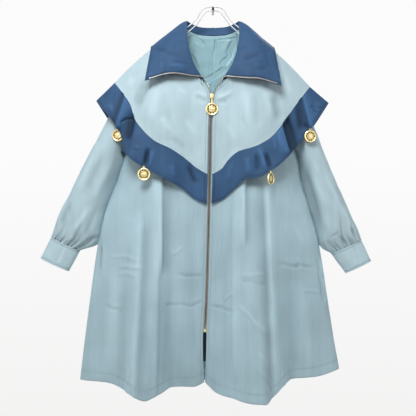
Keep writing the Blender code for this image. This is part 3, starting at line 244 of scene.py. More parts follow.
# Pleats, as creases: the cloth on one side of the line laps over the other, which lies lower
PLEATS = {
    "front_right": (
        (-134, 430, -133, 740, 24, 5.5, 0), (-185, 540, -207, 1090, 22, 5, 0),
        (-140, 640, -149, 1090, 14, 2.2, 0)),
    "front_left": (
        (136, 450, 163, 1090, 24, -5.5, 0), (87, 430, 86, 660, 18, 4.2, 0),
        (52, 520, 52, 1000, 10, -1.6, 0)),
    "back": (
        (-150, 440, -176, 1090, 24, 5, 0), (70, 440, 84, 1090, 22, -5, 0),
        (190, 500, 222, 1090, 18, -3, 0)),
    "band_right": (
        (-232, 222, -268, 338, 20, -5, 0),),
    "band_left": (
        (176, 290, 208, 404, 22, 6.5, 0), (236, 224, 262, 342, 18, -5, 0)),
    "cuff_right": (
        (-426, 700, -396, 640, 9, 1.4, 0),),
    "cuff_left": (
        (398, 704, 372, 644, 9, -1.4, 0),)}

# Creases on the rear of the sleeves
BACK_CREASES = {
    "sleeve_right": (
        (-332, 482, -288, 470, 8, -2.2, 4), (-346, 507, -300, 498, 8, 2, 3),
        (-360, 536, -316, 541, 7, -1.8, -3), (-385, 556, -348, 612, 9, 2, 0),
        (-290, 400, -330, 470, 12, 1.8, 0)),
    "sleeve_left": (
        (296, 470, 340, 484, 8, -2.2, -4), (306, 500, 352, 506, 8, 2, -3),
        (318, 538, 364, 534, 7, -1.8, 3), (346, 560, 384, 612, 9, 2, 0),
        (282, 396, 322, 470, 12, 1.8, 0))}

# Rumples: height and reach
RUMPLES = {"front": (2.6, 70), "back": (2.6, 70), "sleeve": (1.6, 45), "cuff": (0.7, 30), "cape": (1.8, 60),
           "band": (1.8, 45), "collar": (1.0, 40), "lining": (0.8, 25)}
FINE_RUMPLE = (0.5, 22)

# How the sleeves' inner edges tuck behind the body's sides
INNER_STEP = 2
TUCK_OVERLAP = 4.0
TUCK_BACKS = {RIGHT: 9.0, LEFT: 16.0}
TUCK_TURNS = {RIGHT: 0.16, LEFT: 0.2}
TUCK_FADES = (8, 55)

# How the back's hem dips behind the zip's open end
HEM_DIP = 22.0
HEM_DIP_PLACE = -19
HEM_DIP_REACH = 70
HEM_DIP_RISE = 260

# Gathers above the cuffs: widths and shifts are shares of a turn; their troughs also get painted shade
GATHERS = 25
GATHER_DEPTHS = (2.2, 5.0)
GATHER_LENGTHS = (25, 120)
GATHER_WIDTHS = (0.009, 0.015)
GATHER_SHIFT = 0.35
GATHER_LEAN = 0.025
GATHER_SHADE = 1.7

# The left collar leaf hangs lower than the right one: how far down and out, and from which across and drop
SAG = (13.0, 1.0)
SAG_FROM = (35, 90)
SAG_REACH = (70, 90)

# The fronts stand a little open below the zip: how far, between which drops, and how softly
SLIT_OPEN = 1.4
SLIT_DROPS = (872, 1000)
SLIT_FADES = (16, 60)
SLIT_REACH = 40

# Cuts: width, length and flat area in metres, how a piece is held, what it hangs from, slot, lined or not
CUTS = {
    "front": (0.48, 1.03, 0.30, "hung", "hanger", "dusty_blue", True),
    "back": (0.78, 0.98, 0.54, "hung", "hanger", "dusty_blue", True),
    "sleeve": (0.46, 0.52, 0.12, "gathered", "front", "dusty_blue", True),
    "cuff": (0.21, 0.065, None, "folded", "sleeve", "dusty_blue", False),
    "cape": (0.40, 0.26, 0.065, "draped", "front", "dusty_blue", False),
    "cape_back": (0.72, 0.33, 0.14, "draped", "back", "dusty_blue", False),
    "band": (0.47, 0.09, 0.032, "draped", "cape", "navy", False),
    "band_back": (0.86, 0.085, 0.06, "draped", "cape", "navy", False),
    "collar": (0.35, 0.17, 0.043, "folded", "cape", "navy", False),
    "lining": (0.17, 0.25, 0.036, "hung", "back", "teal_lining", False)}

# Stitches: pitch, length and thickness; a stitch's sides and rings; and how a seam draws the cloth in, with
# painted shade along its groove
STITCH = (3.4, 2.6, 0.9)
# Stitches of the paler thread on the cape's lower edge, thicker, for its painted highlight
HIGHLIGHT_STITCH = (3.0, 3.2, 1.5)
STITCH_SIDES = (5, 3)
STITCH_LIFT = 0.15
SEAM_REACH = 1.8
SEAM_DEPTH = 0.5
SEAM_SHADE = 2.6
CUFF_SEAM_SHADE = 6.0
# Painted light: how much lighter the whole cuff is made
CUFF_PAINTED_LIGHT = 1.8

# Seams: the edges that they follow, and how far in they run
SEAMS = {
    "cuff": ((("columns", 0), 4.0), (("columns", 1), 5.0)),
    "front": ((("columns", 0), 26.0), (("rows", 0), 6.5)),
    "back": ((("columns", 0), 26.0),),
    "cape": ((("columns", 1), 3.0), (("rows", 0), 6.5)),
    "cape_back": ((("columns", 1), 3.0),),
    "band": ((("columns", 1), 5.0), (("rows", 0), 6.5)),
    "band_back": ((("columns", 1), 5.0),),
    "collar": ((("columns", 1), 5.0), (("rows", 0), 6.5))}

# Bar tacks at the ends of the pocket's slit: from and to in across and drop
POCKET_TACKS = ((-311, 641, -300, 641), (-313, 723, -302, 723))
TACK_STEPS = 4

# Zip: a tooth's size along, across and out, and the cord that the teeth are clamped on
TOOTH_PITCH = 2.3
TOOTH_SIZE = (1.35, 3.1, 2.3)
TOOTH_ROUNDING = 0.35
CORD_SIZE = (2.6, 0.9)
CORD_SINK = 0.5
STRIP_CORNERS = 4
PATH_STEPS = 6

# Medallions: rings of the front face, and radius and height of the rows on the back
MEDAL_SIDES = 96
MEDAL_RINGS = (0.6, 1.3, 2.0, 2.5, 3.0, 3.6, 4.4, 5.2, 6.0, 6.8, 7.5, 8.1, 8.6, 9.1, 9.6, 10.1, 10.7, 11.5,
               12.3, 12.8, 13.2, 13.7, 14.3, 14.9, 15.5, 16.0, 16.3, 16.5)
MEDAL_BACK_ROWS = ((16.5, -0.9), (16.1, -1.2), (13.4, -1.2), (12.9, -0.8), (6.0, -0.8))

# Medallion rim: radii of its foot, crest and edge, its heights, and its beads
RIM = (12.7, 14.8, 16.5)
RIM_HEIGHT = 0.75
RIM_LIP = 0.3
BEADS = 24
BEAD_HEIGHT = 0.22
BEAD_REACH = 1.2

# Medallion middle: a sunk ring with pips, petals with grooves between them, and a boss (radius and height)
RING_FACE = 0.7
RING_EDGE = (0.5, 0.6)
PIPS = 10
PIP_RADIUS = 11.2
PIP_REACH = 1.5
PIP_HEIGHT = 0.5
PIP_GAIN = 1.6
PIP_GAP = 0.2
PETALS = 6
PETAL_EDGE = (8.9, 0.8)
PETAL_SLOPE = 0.9
PETAL_HEIGHT = 0.55
PETAL_GROOVE = 0.5
GROOVE_POWER = 0.5
GROOVE_START = 2
GROOVE_DARK = 0.85
BOSS = (2.6, 0.75)

# Rings of wire: radius and wire, and how many sides they have round and across
RING_SIDES = (32, 12)
BAIL = (2.35, 0.85)
BAIL_RADIUS = 3.2
BAIL_TO_MEDAL = 18.5
THREAD_LOOP = (2.3, 0.42)
THREAD_SIDES = (20, 6)
THREAD_RISE = 0.6

# Slider, pull and box end: half widths at drops below the slider's middle or the pin
SLIDER_DROP = 249
SLIDER_OUTLINE = ((2.2, -6.4), (4.9, -5.6), (5.2, -3.8), (4.3, 0.6), (3.5, 4.6), (2.9, 6.4))
SLIDER_ROUNDING = 0.7
PLATE_SEGMENTS = 2
PLATE_PROFILE = 0.6
SLIDER_HALF = 1.4
PIN_STAND = 5.6
EAR_PLACE = 2.6
EAR_OUTLINE = ((-1.6, -1.0), (1.6, -1.0), (1.6, 6.2), (0.8, 7.2), (-0.8, 7.2), (-1.6, 6.2))
EAR_HALF = 0.6
EAR_ROUNDING = 0.35
PIN_RADIUS = 0.8
PIN_HALF = 2.6
PIN_SIDES = 20
PULL_LENGTH = 31.0
STEM_OUTLINE = ((1.2, 1.9), (0.9, 5.0), (1.5, 7.6), (2.5, 9.6), (2.7, 11.4), (1.6, 13.4), (1.5, 15.6))
STEM_HALF = 0.95
STEM_ROUNDING = 0.5
EYE = (1.9, 0.72, 1.55)
EYE_SIDES = (24, 12)
BOX_ROUNDING = 0.8
SHARP_ANGLE = math.radians(50)

# Strip behind the zip's lower end, in near-black navy that paints the shade seen in the slit below the zip
GUARD_DROPS = (800, 957)
GUARD_STEPS = 50
GUARD_SIZE = (24.0, 1.2)
GUARD_SINK = 5.0

# Peg: its rounded edges, how flat faces are to be joined, and how far out its paint ends
PEG_ROUNDING = 0.35
PEG_SEGMENTS = 3
FLAT_ANGLE = math.radians(1)
PEG_BARE_OUT = 62

# How far each charm is turned about the upright
CHARM_YAWS = {"charm_right_front": 0, "charm_right_shoulder": -12, "charm_right_back": 205,
              "charm_left_front": 58, "charm_left_shoulder": 12, "charm_left_back": 155}

# Lamps: place, size and power; and the room's light
LAMPS = (("key", (-400, -1150, 1550), 1000, 44), ("left_window", (1900, -100, 1100), 1200, 9),
         ("right_window", (-1900, -100, 1100), 1200, 8), ("behind", (700, -900, -2300), 1800, 60))
LAMP_TARGET = (0, 480, 100)
WALL_LOW = (0.89, 0.89, 0.885)
WALL_HIGH = (0.97, 0.97, 0.97)
WALL_FADE = (-0.22, 0.05)
ROOM_STRENGTH = 0.25
ROOM_GLOSS = 0.85

# Noises: scale and detail, and how the places are stretched and turned first
SLUB = (1.0, 3.0, (420, 16, 1))
BROAD_FADING = (5.0, 3.0)
STREAKS = (70.0, 3.0, (1, 1, 0.05))
SPOTS = (350.0, 4.0)
SCRATCHES = (2500.0, 2.0, (1, 1, 0.1), (0.3, 0.5, 0.2))

# Finishes: ribs of the weaves, their relief and gloss, and spread of spots and relief on metal and paint
TWILL_RIBS = 520
SATIN_RIBS = 900
RIB_WAVER = 1.5
RIB_DETAIL = 1.0
TONE_RANGE = (1.0, 2.0)
WEAVE_DEPTH = 0.0004
CLOTH_GLOSS = 0.2
SHEEN_ROUGHNESS = 0.45
METAL_SPOTS = (0.3, 0.6)
METAL_RELIEF = ("Scratches", 0.12, 0.0001)
PAINT_SPOTS = (0.3, 0.7)
PAINT_RELIEF = ("Spots", 0.1, 0.0002)
PLY_SCALE = 700.0
PLY_WAVER = 2.0
THREAD_ROUGH = (0.55, 0.75)


def unit(vectors):
    """Directions of unit length."""
    return vectors / np.maximum(np.linalg.norm(vectors, axis=-1, keepdims=True), 1e-9)


def ease(share):
    """A soft step from 0 to 1."""
    share = np.clip(share, 0, 1)
    return share * share * (3 - 2 * share)


def swap_axes(points):
    """X, Y and Z as across, drop and out, or the other way round."""
    return np.stack([points[..., 0], -points[..., 2], -points[..., 1]], axis=-1)


def in_metres(points):
    """Points in millimetres of across, drop and out as X, Y and Z in metres."""
    return swap_axes(np.asarray(points, float)) * MM


# The CAD walls as grids

def cad_shape(node):
    """A node's CAD solid, with its loose triangles joined up."""
    shape = bmesh.new()
    shape.from_mesh(frame["nodes"][node].data)
    bmesh.ops.remove_doubles(shape, verts=shape.verts, dist=JOIN_DISTANCE)
    return shape


def wall_of(node):
    """A node's points in millimetres and its triangles."""
    wall = cad_shape(node)
    wall.verts.index_update()
    points = swap_axes(np.array([vertex.co for vertex in wall.verts])) / MM
    triangles = np.array([[vertex.index for vertex in face.verts] for face in wall.faces])
    wall.free()
    return points, triangles


def looks(points, triangles):
    """Area-weighted outward directions of triangles; across, drop and out are a mirrored set of axes."""
    first, second, third = (points[triangles[:, corner]] for corner in range(3))
    return -np.cross(second - first, third - first) / 2


def next_to(triangles):
    """The vertices that share an edge with each vertex."""
    near = {}
    for triangle in triangles.tolist():
        for vertex in triangle:
            near.setdefault(vertex, set()).update(triangle)
    return {vertex: others - {vertex} for vertex, others in near.items()}


def connected(triangles):
    """Groups of triangles that hang together."""
    near = next_to(triangles)
    group = {}
    for start in near:
        waiting = [] if start in group else [start]
        while waiting:
            vertex = waiting.pop()
            if vertex not in group:
                group[vertex] = start
                waiting.extend(near[vertex])
    labels = np.array([group[triangle[0]] for triangle in triangles.tolist()])
    return [triangles[labels == label] for label in np.unique(labels)]


def outer_side(points, triangles, thickness, facing):
    """The triangles of a wall's outer side, which looks the given way, or on a tube is the larger one."""
    corners = points[triangles]
    shortest = np.linalg.norm(corners - np.roll(corners, 1, axis=1), axis=2).min(axis=1)
    sides = connected(triangles[shortest > thickness * RIM_SHARE])

    def merit(side):
        areas = looks(points, side)
        return np.linalg.norm(areas, axis=1).sum() if facing is None else areas.sum(axis=0) @ np.array(facing)

    return max(sides, key=merit)


def open_loops(triangles):
    """The open edges of a surface as loops of vertices."""
    pairs = {(triangle[corner], triangle[corner - 2])
             for triangle in triangles.tolist() for corner in range(3)}
    after = {first: second for first, second in pairs if (second, first) not in pairs}
    loops = []
    while after:
        loop = [next(iter(after))]
        while loop[-1] in after:
            loop.append(after.pop(loop[-1]))
        loops.append(loop[:-1])
    return loops


def next_row(row, start, near, seen):
    """The row beside a row of vertices, from its known start."""
    beside = [start]
    for vertex in row[1:]:
        beside.append(((near[beside[-1]] & near[vertex]) - seen - set(beside)).pop())
    seen.update(beside)
    return beside


def panel_corners(loop, triangles):
    """The places of a panel's four corners on its edge: they have few triangles, and opposite sides match."""
    uses = np.bincount(triangles.ravel())
    few = [place for place, vertex in enumerate(loop) if uses[vertex] < CORNER_USES]
    points = np.count_nonzero(uses)
    for corners in itertools.combinations(few, 4):
        first, second, third, fourth = np.diff(corners + (corners[0] + len(loop),))
        if first == third and second == fourth and (first + 1) * (second + 1) == points:
            return corners


def panel_rows(triangles):
    """Rows of a four-sided panel."""
    near = next_to(triangles)
    loop = max(open_loops(triangles), key=len)
    corners = panel_corners(loop, triangles)
    loop = loop[corners[0]:] + loop[:corners[0]]
    rows = [loop[:corners[1] - corners[0] + 1]]
    seen = set(rows[0])
    for start in loop[:corners[3] - corners[0] - 1:-1]:
        rows.append(next_row(rows[-1], start, near, seen))
    return rows


def tube_rows(points, triangles):
    """Rings of a tube, from its upper end to its lower one."""
    near = next_to(triangles)
    rows = [min(open_loops(triangles), key=lambda loop: points[loop, 1].mean())]
    seen = set(rows[0])
    while near[rows[-1][0]] - seen:
        here = points[rows[-1][0]]
        beyond = near[rows[-1][0]] - seen
        start = min(beyond, key=lambda vertex: np.linalg.norm(points[vertex] - here))
        rows.append(next_row(rows[-1], start, near, seen))
    return rows


# Fine grids

def smooth_rows(rows, steps, closed=False):
    """Rows with more put in between, on smooth curves through them; a closed set runs round."""
    count = len(rows)
    if closed:
        rows = np.concatenate([rows[-WRAP:], rows, rows[:WRAP + 1]])
    gaps = np.linalg.norm(np.diff(rows, axis=0), axis=-1).mean(axis=1)
    keys = np.concatenate([[0], np.cumsum(gaps)])
    slopes = np.gradient(rows, keys, axis=0)
    first = WRAP if closed else 0
    start = np.repeat(np.arange(first, first + (count if closed else count - 1)), steps)
    share = np.tile(np.arange(steps) / steps, len(start) // steps)[:, None, None]
    span = (keys[start + 1] - keys[start])[:, None, None]
    fine = ((1 + 2 * share) * (1 - share) ** 2 * rows[start] + share ** 2 * (3 - 2 * share) * rows[start + 1]
            + share * (1 - share) ** 2 * span * slopes[start]
            + share ** 2 * (share - 1) * span * slopes[start + 1])
    return fine if closed else np.concatenate([fine, rows[-1:]])


def soften(grid, rounds, closed):
    """Even out a fine grid's bends and keep its edges."""
    for _ in range(rounds):
        beside = np.pad(grid, ((1, 1), (0, 0), (0, 0)), mode="wrap" if closed else "edge")
        mean = (beside[:-2, 1:-1] + beside[2:, 1:-1] + grid[:, :-2] + grid[:, 2:]) / 4
        kept = slice(None) if closed else slice(1, -1)
        grid = grid.copy()
        grid[kept, 1:-1] = mean[kept]
    return grid


def laid(grid, first, second):
    """A panel's grid turned so that its first axis runs the first way and its second axis the second."""
    def run(axis):
        lines = np.moveaxis(grid, axis, 0)
        return unit((lines[-1] - lines[0]).mean(axis=0))

    if abs(run(1) @ first) + abs(run(0) @ second) > abs(run(0) @ first) + abs(run(1) @ second):
        grid = grid.swapaxes(0, 1)
    if run(0) @ first < 0:
        grid = grid[::-1]
    if run(1) @ second < 0:
        grid = grid[:, ::-1]
    return grid


def round_the_front(grid, side):
    """A tube's grid turned so that it starts at the outer edge and goes over the front."""
    middle = grid.shape[1] // 2
    quarter = len(grid) // 4
    grid = np.roll(grid, -np.argmax(grid[:, middle, 0] * side), axis=0)
    if grid[quarter, middle, 2] < grid[-quarter, middle, 2]:
        grid = np.roll(grid[::-1], 1, axis=0)
    return grid


def crease_heights(points, creases, lapped=False):
    """How far creases push the cloth out: soft ridges, or troughs, along slightly bent lines that fade out.

    A lapped crease is a pleat, which is raised on one side of its line and sunk on the other.
    """
    total = np.zeros(points.shape[:2])
    for across, drop, to_across, to_drop, reach, height, bow in creases:
        run = np.array([to_across - across, to_drop - drop], float)
        length = np.linalg.norm(run)
        ahead = run / length
        offset = points[..., :2] - np.array([across, drop], float)
        way = offset @ ahead / length
        bend = bow * 4 * way * (1 - way)
        if reach < THIN_CREASE:
            bend = bend + WAVER[0] * np.sin(way * length / WAVER[1] + across)
        gap = offset @ np.array([-ahead[1], ahead[0]]) - bend
        spread = (gap / reach) ** 2
        profile = np.tanh(gap / PLEAT_STEP) if lapped else 1 - CREASE_HOLLOW * spread
        ends = CREASE_FADE if lapped or reach < THIN_CREASE else BROAD_FADE
        fade = ease(way / ends) * ease((1 - way) / ends)
        total += height * fade * profile * np.exp(-spread)
    return total


class Cloth:
    """A piece of cloth as a fine grid on the outer side of its CAD wall."""

    def __init__(self, node, side, thickness, steps, facing=None, first=None, second=None, free=()):
        self.node = node
        self.kind = node.split("_")[0]
        self.thickness = thickness
        self.closed = facing is None
        self.free = free
        points, triangles = wall_of(node)
        outer = outer_side(points, triangles, thickness, facing)
        if self.closed:
            grid = round_the_front(points[tube_rows(points, outer)].swapaxes(0, 1), side)
        else:
            mirror = np.array((side, 1, 1))
            grid = laid(points[panel_rows(outer)], first * mirror, second * mirror)
        grid = smooth_rows(grid, steps[0], self.closed)
        grid = smooth_rows(grid.swapaxes(0, 1), steps[1]).swapaxes(0, 1)
        self.points = soften(grid, SOFTENING, self.closed)
        away = self.points - self.points.mean(axis=0) if self.closed else np.array(facing)
        self.turn = 1
        self.turn = np.sign((self.normals() * away).sum())
        # How far the cloth is folded in or out, which the material turns into painted shade in hollows and
        # painted highlight on ridges
        self.folded = np.zeros(self.points.shape[:2])

    def normals(self):
        """Outward directions at the grid's points."""
        if self.closed:
            along = np.roll(self.points, -1, axis=0) - np.roll(self.points, 1, axis=0)
        else:
            along = np.gradient(self.points, axis=0)
        return unit(np.cross(along, np.gradient(self.points, axis=1))) * self.turn

    def calm(self):
        """A window that falls to nothing at the sewn edges, so that seams stay shut."""
        window = np.ones(self.points.shape[:2])
        for axis, end in (("rows", 0), ("rows", 1), ("columns", 0), ("columns", 1)):
            if (axis, end) in self.free or (self.closed and axis == "rows"):
                continue
            count = window.shape[0 if axis == "rows" else 1]
            places = np.arange(count)[::-1] if end else np.arange(count)
            fade = ease(places / CALM_STEPS.get(self.kind, USUAL_CALM_STEPS))
            window = window * (fade[:, None] if axis == "rows" else fade[None])
        return window

    def push(self, heights):
        """Move the points out along their normals and note how far, for painted shade in hollows and painted
        highlight on ridges.
        """
        heights = heights * self.calm()
        self.points = self.points + self.normals() * heights[..., None]
        self.folded = self.folded + heights

    def crease(self, creases, facing=None, lapped=False, gain=1.0, slip=0.0):
        """Press creases in, on all of the cloth or only where it faces one way.

        A slip lets the cloth that laps over hang lower than the cloth below it.
        """
        shown = ease(self.normals() @ np.array(facing) / CREASE_TURN) if facing else 1
        heights = crease_heights(self.points, creases, lapped) * shown * gain
        self.push(heights)
        self.points[..., 1] += heights * slip * self.calm()

    def rumple(self, height, reach, seed):
        """Give the cloth the slight unevenness that pressing leaves."""
        places = self.points.reshape(-1, 3) / reach + seed
        waves = [noise.noise(Vector(place)) for place in places]
        self.push(height * np.array(waves).reshape(self.points.shape[:2]))

    def tree(self):
        """The outer side as a search tree."""
        quads = self.quads() % (self.points.shape[0] * self.points.shape[1])
        return BVHTree.FromPolygons(self.points.reshape(-1, 3).tolist(), quads.tolist())

    def clear_of(self, others, gap):
        """Lift the cloth until it clears what lies below it, with soft slopes round the lifted places."""
        trees = [other.tree() for other in others]
        normals = self.normals()
        lift = np.zeros(self.points.shape[:2])
        for place in np.ndindex(lift.shape):
            start = Vector(self.points[place] + normals[place] * LIFT_REACH)
            for tree in trees:
                _, below, _, distance = tree.ray_cast(start, Vector(-normals[place]), LIFT_REACH + gap)
                if below and abs(below @ Vector(normals[place])) > LIFT_FACING:
                    lift[place] = max(lift[place], LIFT_REACH + gap - distance)
        lift[lift > LIFT_MOST] = 0
        for step in range(2 * LIFT_SOFTENING):
            beside = np.pad(lift, 1, mode="edge")
            mean = (beside[:-2, 1:-1] + beside[2:, 1:-1] + beside[1:-1, :-2] + beside[1:-1, 2:]) / 4
            lift = np.maximum(lift, mean) if step < LIFT_SOFTENING else mean
        self.points = self.points + normals * lift[..., None]

    def quads(self):
        """Quads that look outwards, as numbers on a grid that repeats its first row if it is closed."""
        rows, columns = self.points.shape[:2]
        lines = np.arange(rows if self.closed else rows - 1)
        start = (lines[:, None] * columns + np.arange(columns - 1)).ravel()
        quads = np.stack([start, start + columns, start + columns + 1, start + 1], axis=1)
        return quads[:, ::-1] if self.turn > 0 else quads

    def cut_map(self):
        """Lengths along both axes of the grid, in metres, for the weave."""
        grid = np.concatenate([self.points, self.points[:1]]) if self.closed else self.points
        lengths = []
        for axis in (0, 1):
            steps = np.linalg.norm(np.diff(grid, axis=axis), axis=-1)
            lengths.append(np.cumsum(np.insert(steps, 0, 0, axis=axis), axis=axis))
        return np.stack(lengths, axis=-1).reshape(-1, 2) * MM

    def build(self, cloth, inside=None):
        """Make the shell, with a rounded edge, in one material outside and another inside."""
        rows, columns = self.points.shape[:2]
        count = rows * columns
        inner = self.points - self.normals() * self.thickness
        lines = np.arange(rows) if self.closed else np.clip(np.arange(rows), 1, rows - 2)
        steps = np.clip(np.arange(columns), 1, columns - 2)
        outwards = unit(self.points - self.points[lines][:, steps])
        edge = (self.points + inner) / 2 + outwards * self.thickness * EDGE_ROUNDING
        numbers = self.quads()
        outer = numbers % count
        pairs = np.concatenate([outer[:, [corner, (corner + 1) % 4]] for corner in range(4)])
        known = set(map(tuple, pairs.tolist()))
        border = np.array([pair for pair in known if pair[::-1] not in known])
        first, second = border.T
        halves = [(second, first, first + 2 * count, second + 2 * count),
                  (second + 2 * count, first + 2 * count, first + count, second + count)]
        rim = np.concatenate([np.stack(half, axis=1) for half in halves])
        faces = np.concatenate([outer, outer[:, ::-1] + count, rim])
        flat = self.cut_map()
        places = np.concatenate([flat[numbers], flat[numbers[:, ::-1]], flat[rim % count]])
        used, faces = np.unique(faces, return_inverse=True)
        vertices = in_metres(np.concatenate([self.points, inner, edge]).reshape(-1, 3))[used]
        mesh = bpy.data.meshes.new(self.node + "_cloth")
        mesh.from_pydata(vertices.tolist(), [], faces.reshape(-1, 4).tolist())
        mesh.uv_layers.new(name=CUT_MAP).uv.foreach_set("vector", places.ravel().astype(np.float32))
        # Painted shade and highlight of the folds, as a mark on the mesh; the inner side's is turned over
        folded = np.concatenate([self.folded, -self.folded, self.folded]).ravel()[used]
        mesh.attributes.new(PAINTED_FOLD_SHADE, "FLOAT", "POINT").data.foreach_set("value", folded.astype(np.float32))
        mesh.materials.append(cloth)
        if inside:
            mesh.materials.append(inside)
            shares = [len(outer), len(outer), len(rim)]
            mesh.polygons.foreach_set("material_index", np.repeat([0, 1, 0], shares))
        mesh.shade_smooth()
        thing = bpy.data.objects.new(mesh.name, mesh)
        bpy.context.scene.collection.objects.link(thing)
        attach(thing, COAT)
        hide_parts(self.node)
        return thing

    def insets(self, edge):
        """How far in from one of the edges each point is."""
        axis, end = edge
        way = 0 if axis == "rows" else 1
        grid = np.flip(self.points, way) if end else self.points
        steps = np.linalg.norm(np.diff(grid, axis=way), axis=-1)
        lengths = np.cumsum(np.insert(steps, 0, 0, axis=way), axis=way)
        return np.flip(lengths, way) if end else lengths

    def draw_in(self, edge, inset):
        """Draw the cloth in along a line of stitches, with painted shade along the groove."""
        dip = np.exp(-((self.insets(edge) - inset) / SEAM_REACH) ** 2)
        self.points = self.points - self.normals() * (SEAM_DEPTH * dip)[..., None]
        # Painted shade along the seam's groove, darker on the cuffs
        tone = CUFF_SEAM_SHADE if self.kind == "cuff" else SEAM_SHADE
        self.folded = self.folded - tone * dip

    def paint_edge_highlight(self, edge):
        """Paint a highlight along the pressed fold of an edge."""
        tone, reach = PAINTED_EDGE_HIGHLIGHT
        self.folded = self.folded + tone * np.exp(-(self.insets(edge) / reach) ** 2)

    def line(self, edge, inset, lift):
        """Points on the cloth at a distance in from one of its edges, lifted off it a little."""
        axis, end = edge
        lengths = self.insets(edge)
        raised = self.points + self.normals() * lift
        if axis == "columns":
            lengths, raised = lengths.T, raised.swapaxes(0, 1)
        if end:
            lengths, raised = lengths[::-1], raised[::-1]
        line = [[np.interp(inset, lengths[:, step], raised[:, step, way]) for way in range(3)]
                for step in range(raised.shape[1])]
        return np.array(line)


# Shaping the cloth

def by_drop(line):
    """A line of points from its upper end down."""
    return line[np.argsort(line[:, 1])]


def gather(cloth, seed):
    """Gathers that the cuff holds: uneven troughs that run up the sleeve and fade, with painted shade in
    them.
    """
    draw = np.random.default_rng(seed)
    steps = np.linalg.norm(np.diff(cloth.points, axis=1), axis=-1).mean(axis=0)
    above = np.cumsum(np.insert(steps[::-1], 0, 0))[::-1]
    turns = np.arange(len(cloth.points))[:, None] / len(cloth.points)
    depths = np.zeros(cloth.points.shape[:2])
    for number in range(GATHERS):
        turn = (number + draw.uniform(-GATHER_SHIFT, GATHER_SHIFT)) / GATHERS
        length = draw.uniform(*GATHER_LENGTHS)
        width = draw.uniform(*GATHER_WIDTHS)
        gap = turns - turn - draw.uniform(-GATHER_LEAN, GATHER_LEAN) * above / length
        gap = (gap + 0.5) % 1 - 0.5
        depths += draw.uniform(*GATHER_DEPTHS) * (1 - ease(above / length)) * np.exp(-(gap / width) ** 2)
    cloth.points = cloth.points - cloth.normals() * depths[..., None]
    cloth.folded = cloth.folded - GATHER_SHADE * depths


def inner_rows(points, side):
    """The row of a sleeve that lies nearest the body in each column, followed up from the cuff."""
    rows, columns = points.shape[:2]
    inner = np.zeros(columns, int)
    row = np.argmin(points[:, -1, 0] * side)
    for column in reversed(range(columns)):
        near = (row + np.arange(-INNER_STEP, INNER_STEP + 1)) % rows
        row = near[np.argmin(points[near, column, 0] * side)]
        inner[column] = row
    return inner


def tuck(sleeve, front, side):
    """Tuck the sleeve's inner edge behind the body's side seam, as it hangs."""
    rows, columns = sleeve.points.shape[:2]
    seam = by_drop(front.points[-1])
    inner = inner_rows(sleeve.points, side)
    edge = sleeve.points[inner, np.arange(columns)]
    beside = np.interp(edge[:, 1], seam[:, 1], seam[:, 0])
    shift = (edge[:, 0] - beside) * side + TUCK_OVERLAP
    run = np.cumsum(np.insert(np.linalg.norm(np.diff(edge, axis=0), axis=1), 0, 0))
    share = ease(run / TUCK_FADES[0]) * ease((run[-1] - run) / TUCK_FADES[1])
    turns = ((np.arange(rows)[:, None] - inner) / rows + 0.5) % 1 - 0.5
    near = ease(1 - abs(turns) / TUCK_TURNS[side]) * share
    sleeve.points[..., 0] -= near * shift * side
    sleeve.points[..., 2] -= near * TUCK_BACKS[side]


def dip_hem(back):
    """Let the back's hem hang a little lower behind the zip's open end."""
    above = back.points[:, :1, 1] - back.points[..., 1]
    nearby = np.exp(-((back.points[..., 0] - HEM_DIP_PLACE) / HEM_DIP_REACH) ** 2)
    back.points[..., 1] += HEM_DIP * nearby * ease(1 - above / HEM_DIP_RISE)


def sag(points):
    """Let the outer half of the left collar leaf hang lower."""
    across = ease((points[..., 0] - SAG_FROM[0]) / SAG_REACH[0])
    share = across * ease((points[..., 1] - SAG_FROM[1]) / SAG_REACH[1])
    points[..., 1] += SAG[0] * share
    points[..., 2] += SAG[1] * share


def stand_open(front, side):
    """Let a front's edge stand a little open below the zip."""
    drops = front.points[..., 1]
    share = ease((drops - SLIT_DROPS[0]) / SLIT_FADES[0]) * ease((SLIT_DROPS[1] - drops) / SLIT_FADES[1])
    nearby = np.exp(-(front.insets(("rows", 0)) / SLIT_REACH) ** 2)
    front.points[..., 0] += side * SLIT_OPEN * share * nearby


def seams_of(node):
    """The lines of topstitching on a piece: from which edge, and how far in."""
    return SEAMS.get(node, SEAMS.get(node.split("_")[0], ()))


def shape_cloth(pieces):
    """Crease, rumple and gather the cloth, with painted shade and light on it, and keep the upper layers
    clear of the lower ones.
    """
    for side, name in SIDE_NAMES.items():
        tuck(pieces["sleeve_" + name], pieces["front_" + name], side)
        stand_open(pieces["front_" + name], side)
    dip_hem(pieces["back"])
    sag(pieces["collar_left"].points)
    for seed, (node, cloth) in enumerate(pieces.items()):
        gain = CREASE_GAINS.get(cloth.kind, 1.0)
        cloth.rumple(*RUMPLES[cloth.kind], seed)
        cloth.rumple(*FINE_RUMPLE, seed)
        ahead = AHEAD if cloth.closed else None
        cloth.crease(PLEATS.get(node, ()), ahead, lapped=True, slip=LAP_SLIPS.get(cloth.kind, 0.0))
        cloth.crease(CREASES.get(node, ()), ahead, gain=gain)
        if cloth.kind == "sleeve":
            cloth.crease(BACK_CREASES[node], BEHIND, gain=gain)
            gather(cloth, seed)
        for edge, inset in seams_of(node):
            cloth.draw_in(edge, inset)
        # Painted highlight along the cape's lower edge
        if cloth.kind == "cape":
            cloth.paint_edge_highlight(("columns", 1))
        # Painted light: the cuffs are made lighter overall
        if cloth.kind == "cuff":
            cloth.folded += CUFF_PAINTED_LIGHT
    body = [pieces[node] for node in ("front_right", "front_left", "back", "sleeve_right", "sleeve_left")]
    cape = [cloth for cloth in pieces.values() if cloth.kind in ("cape", "band")]
    for cloth in cape:
        cloth.clear_of(body, CAPE_CLEAR)
    for name in SIDE_NAMES.values():
        pieces["collar_" + name].clear_of(cape, COLLAR_CLEAR)


# Node trees

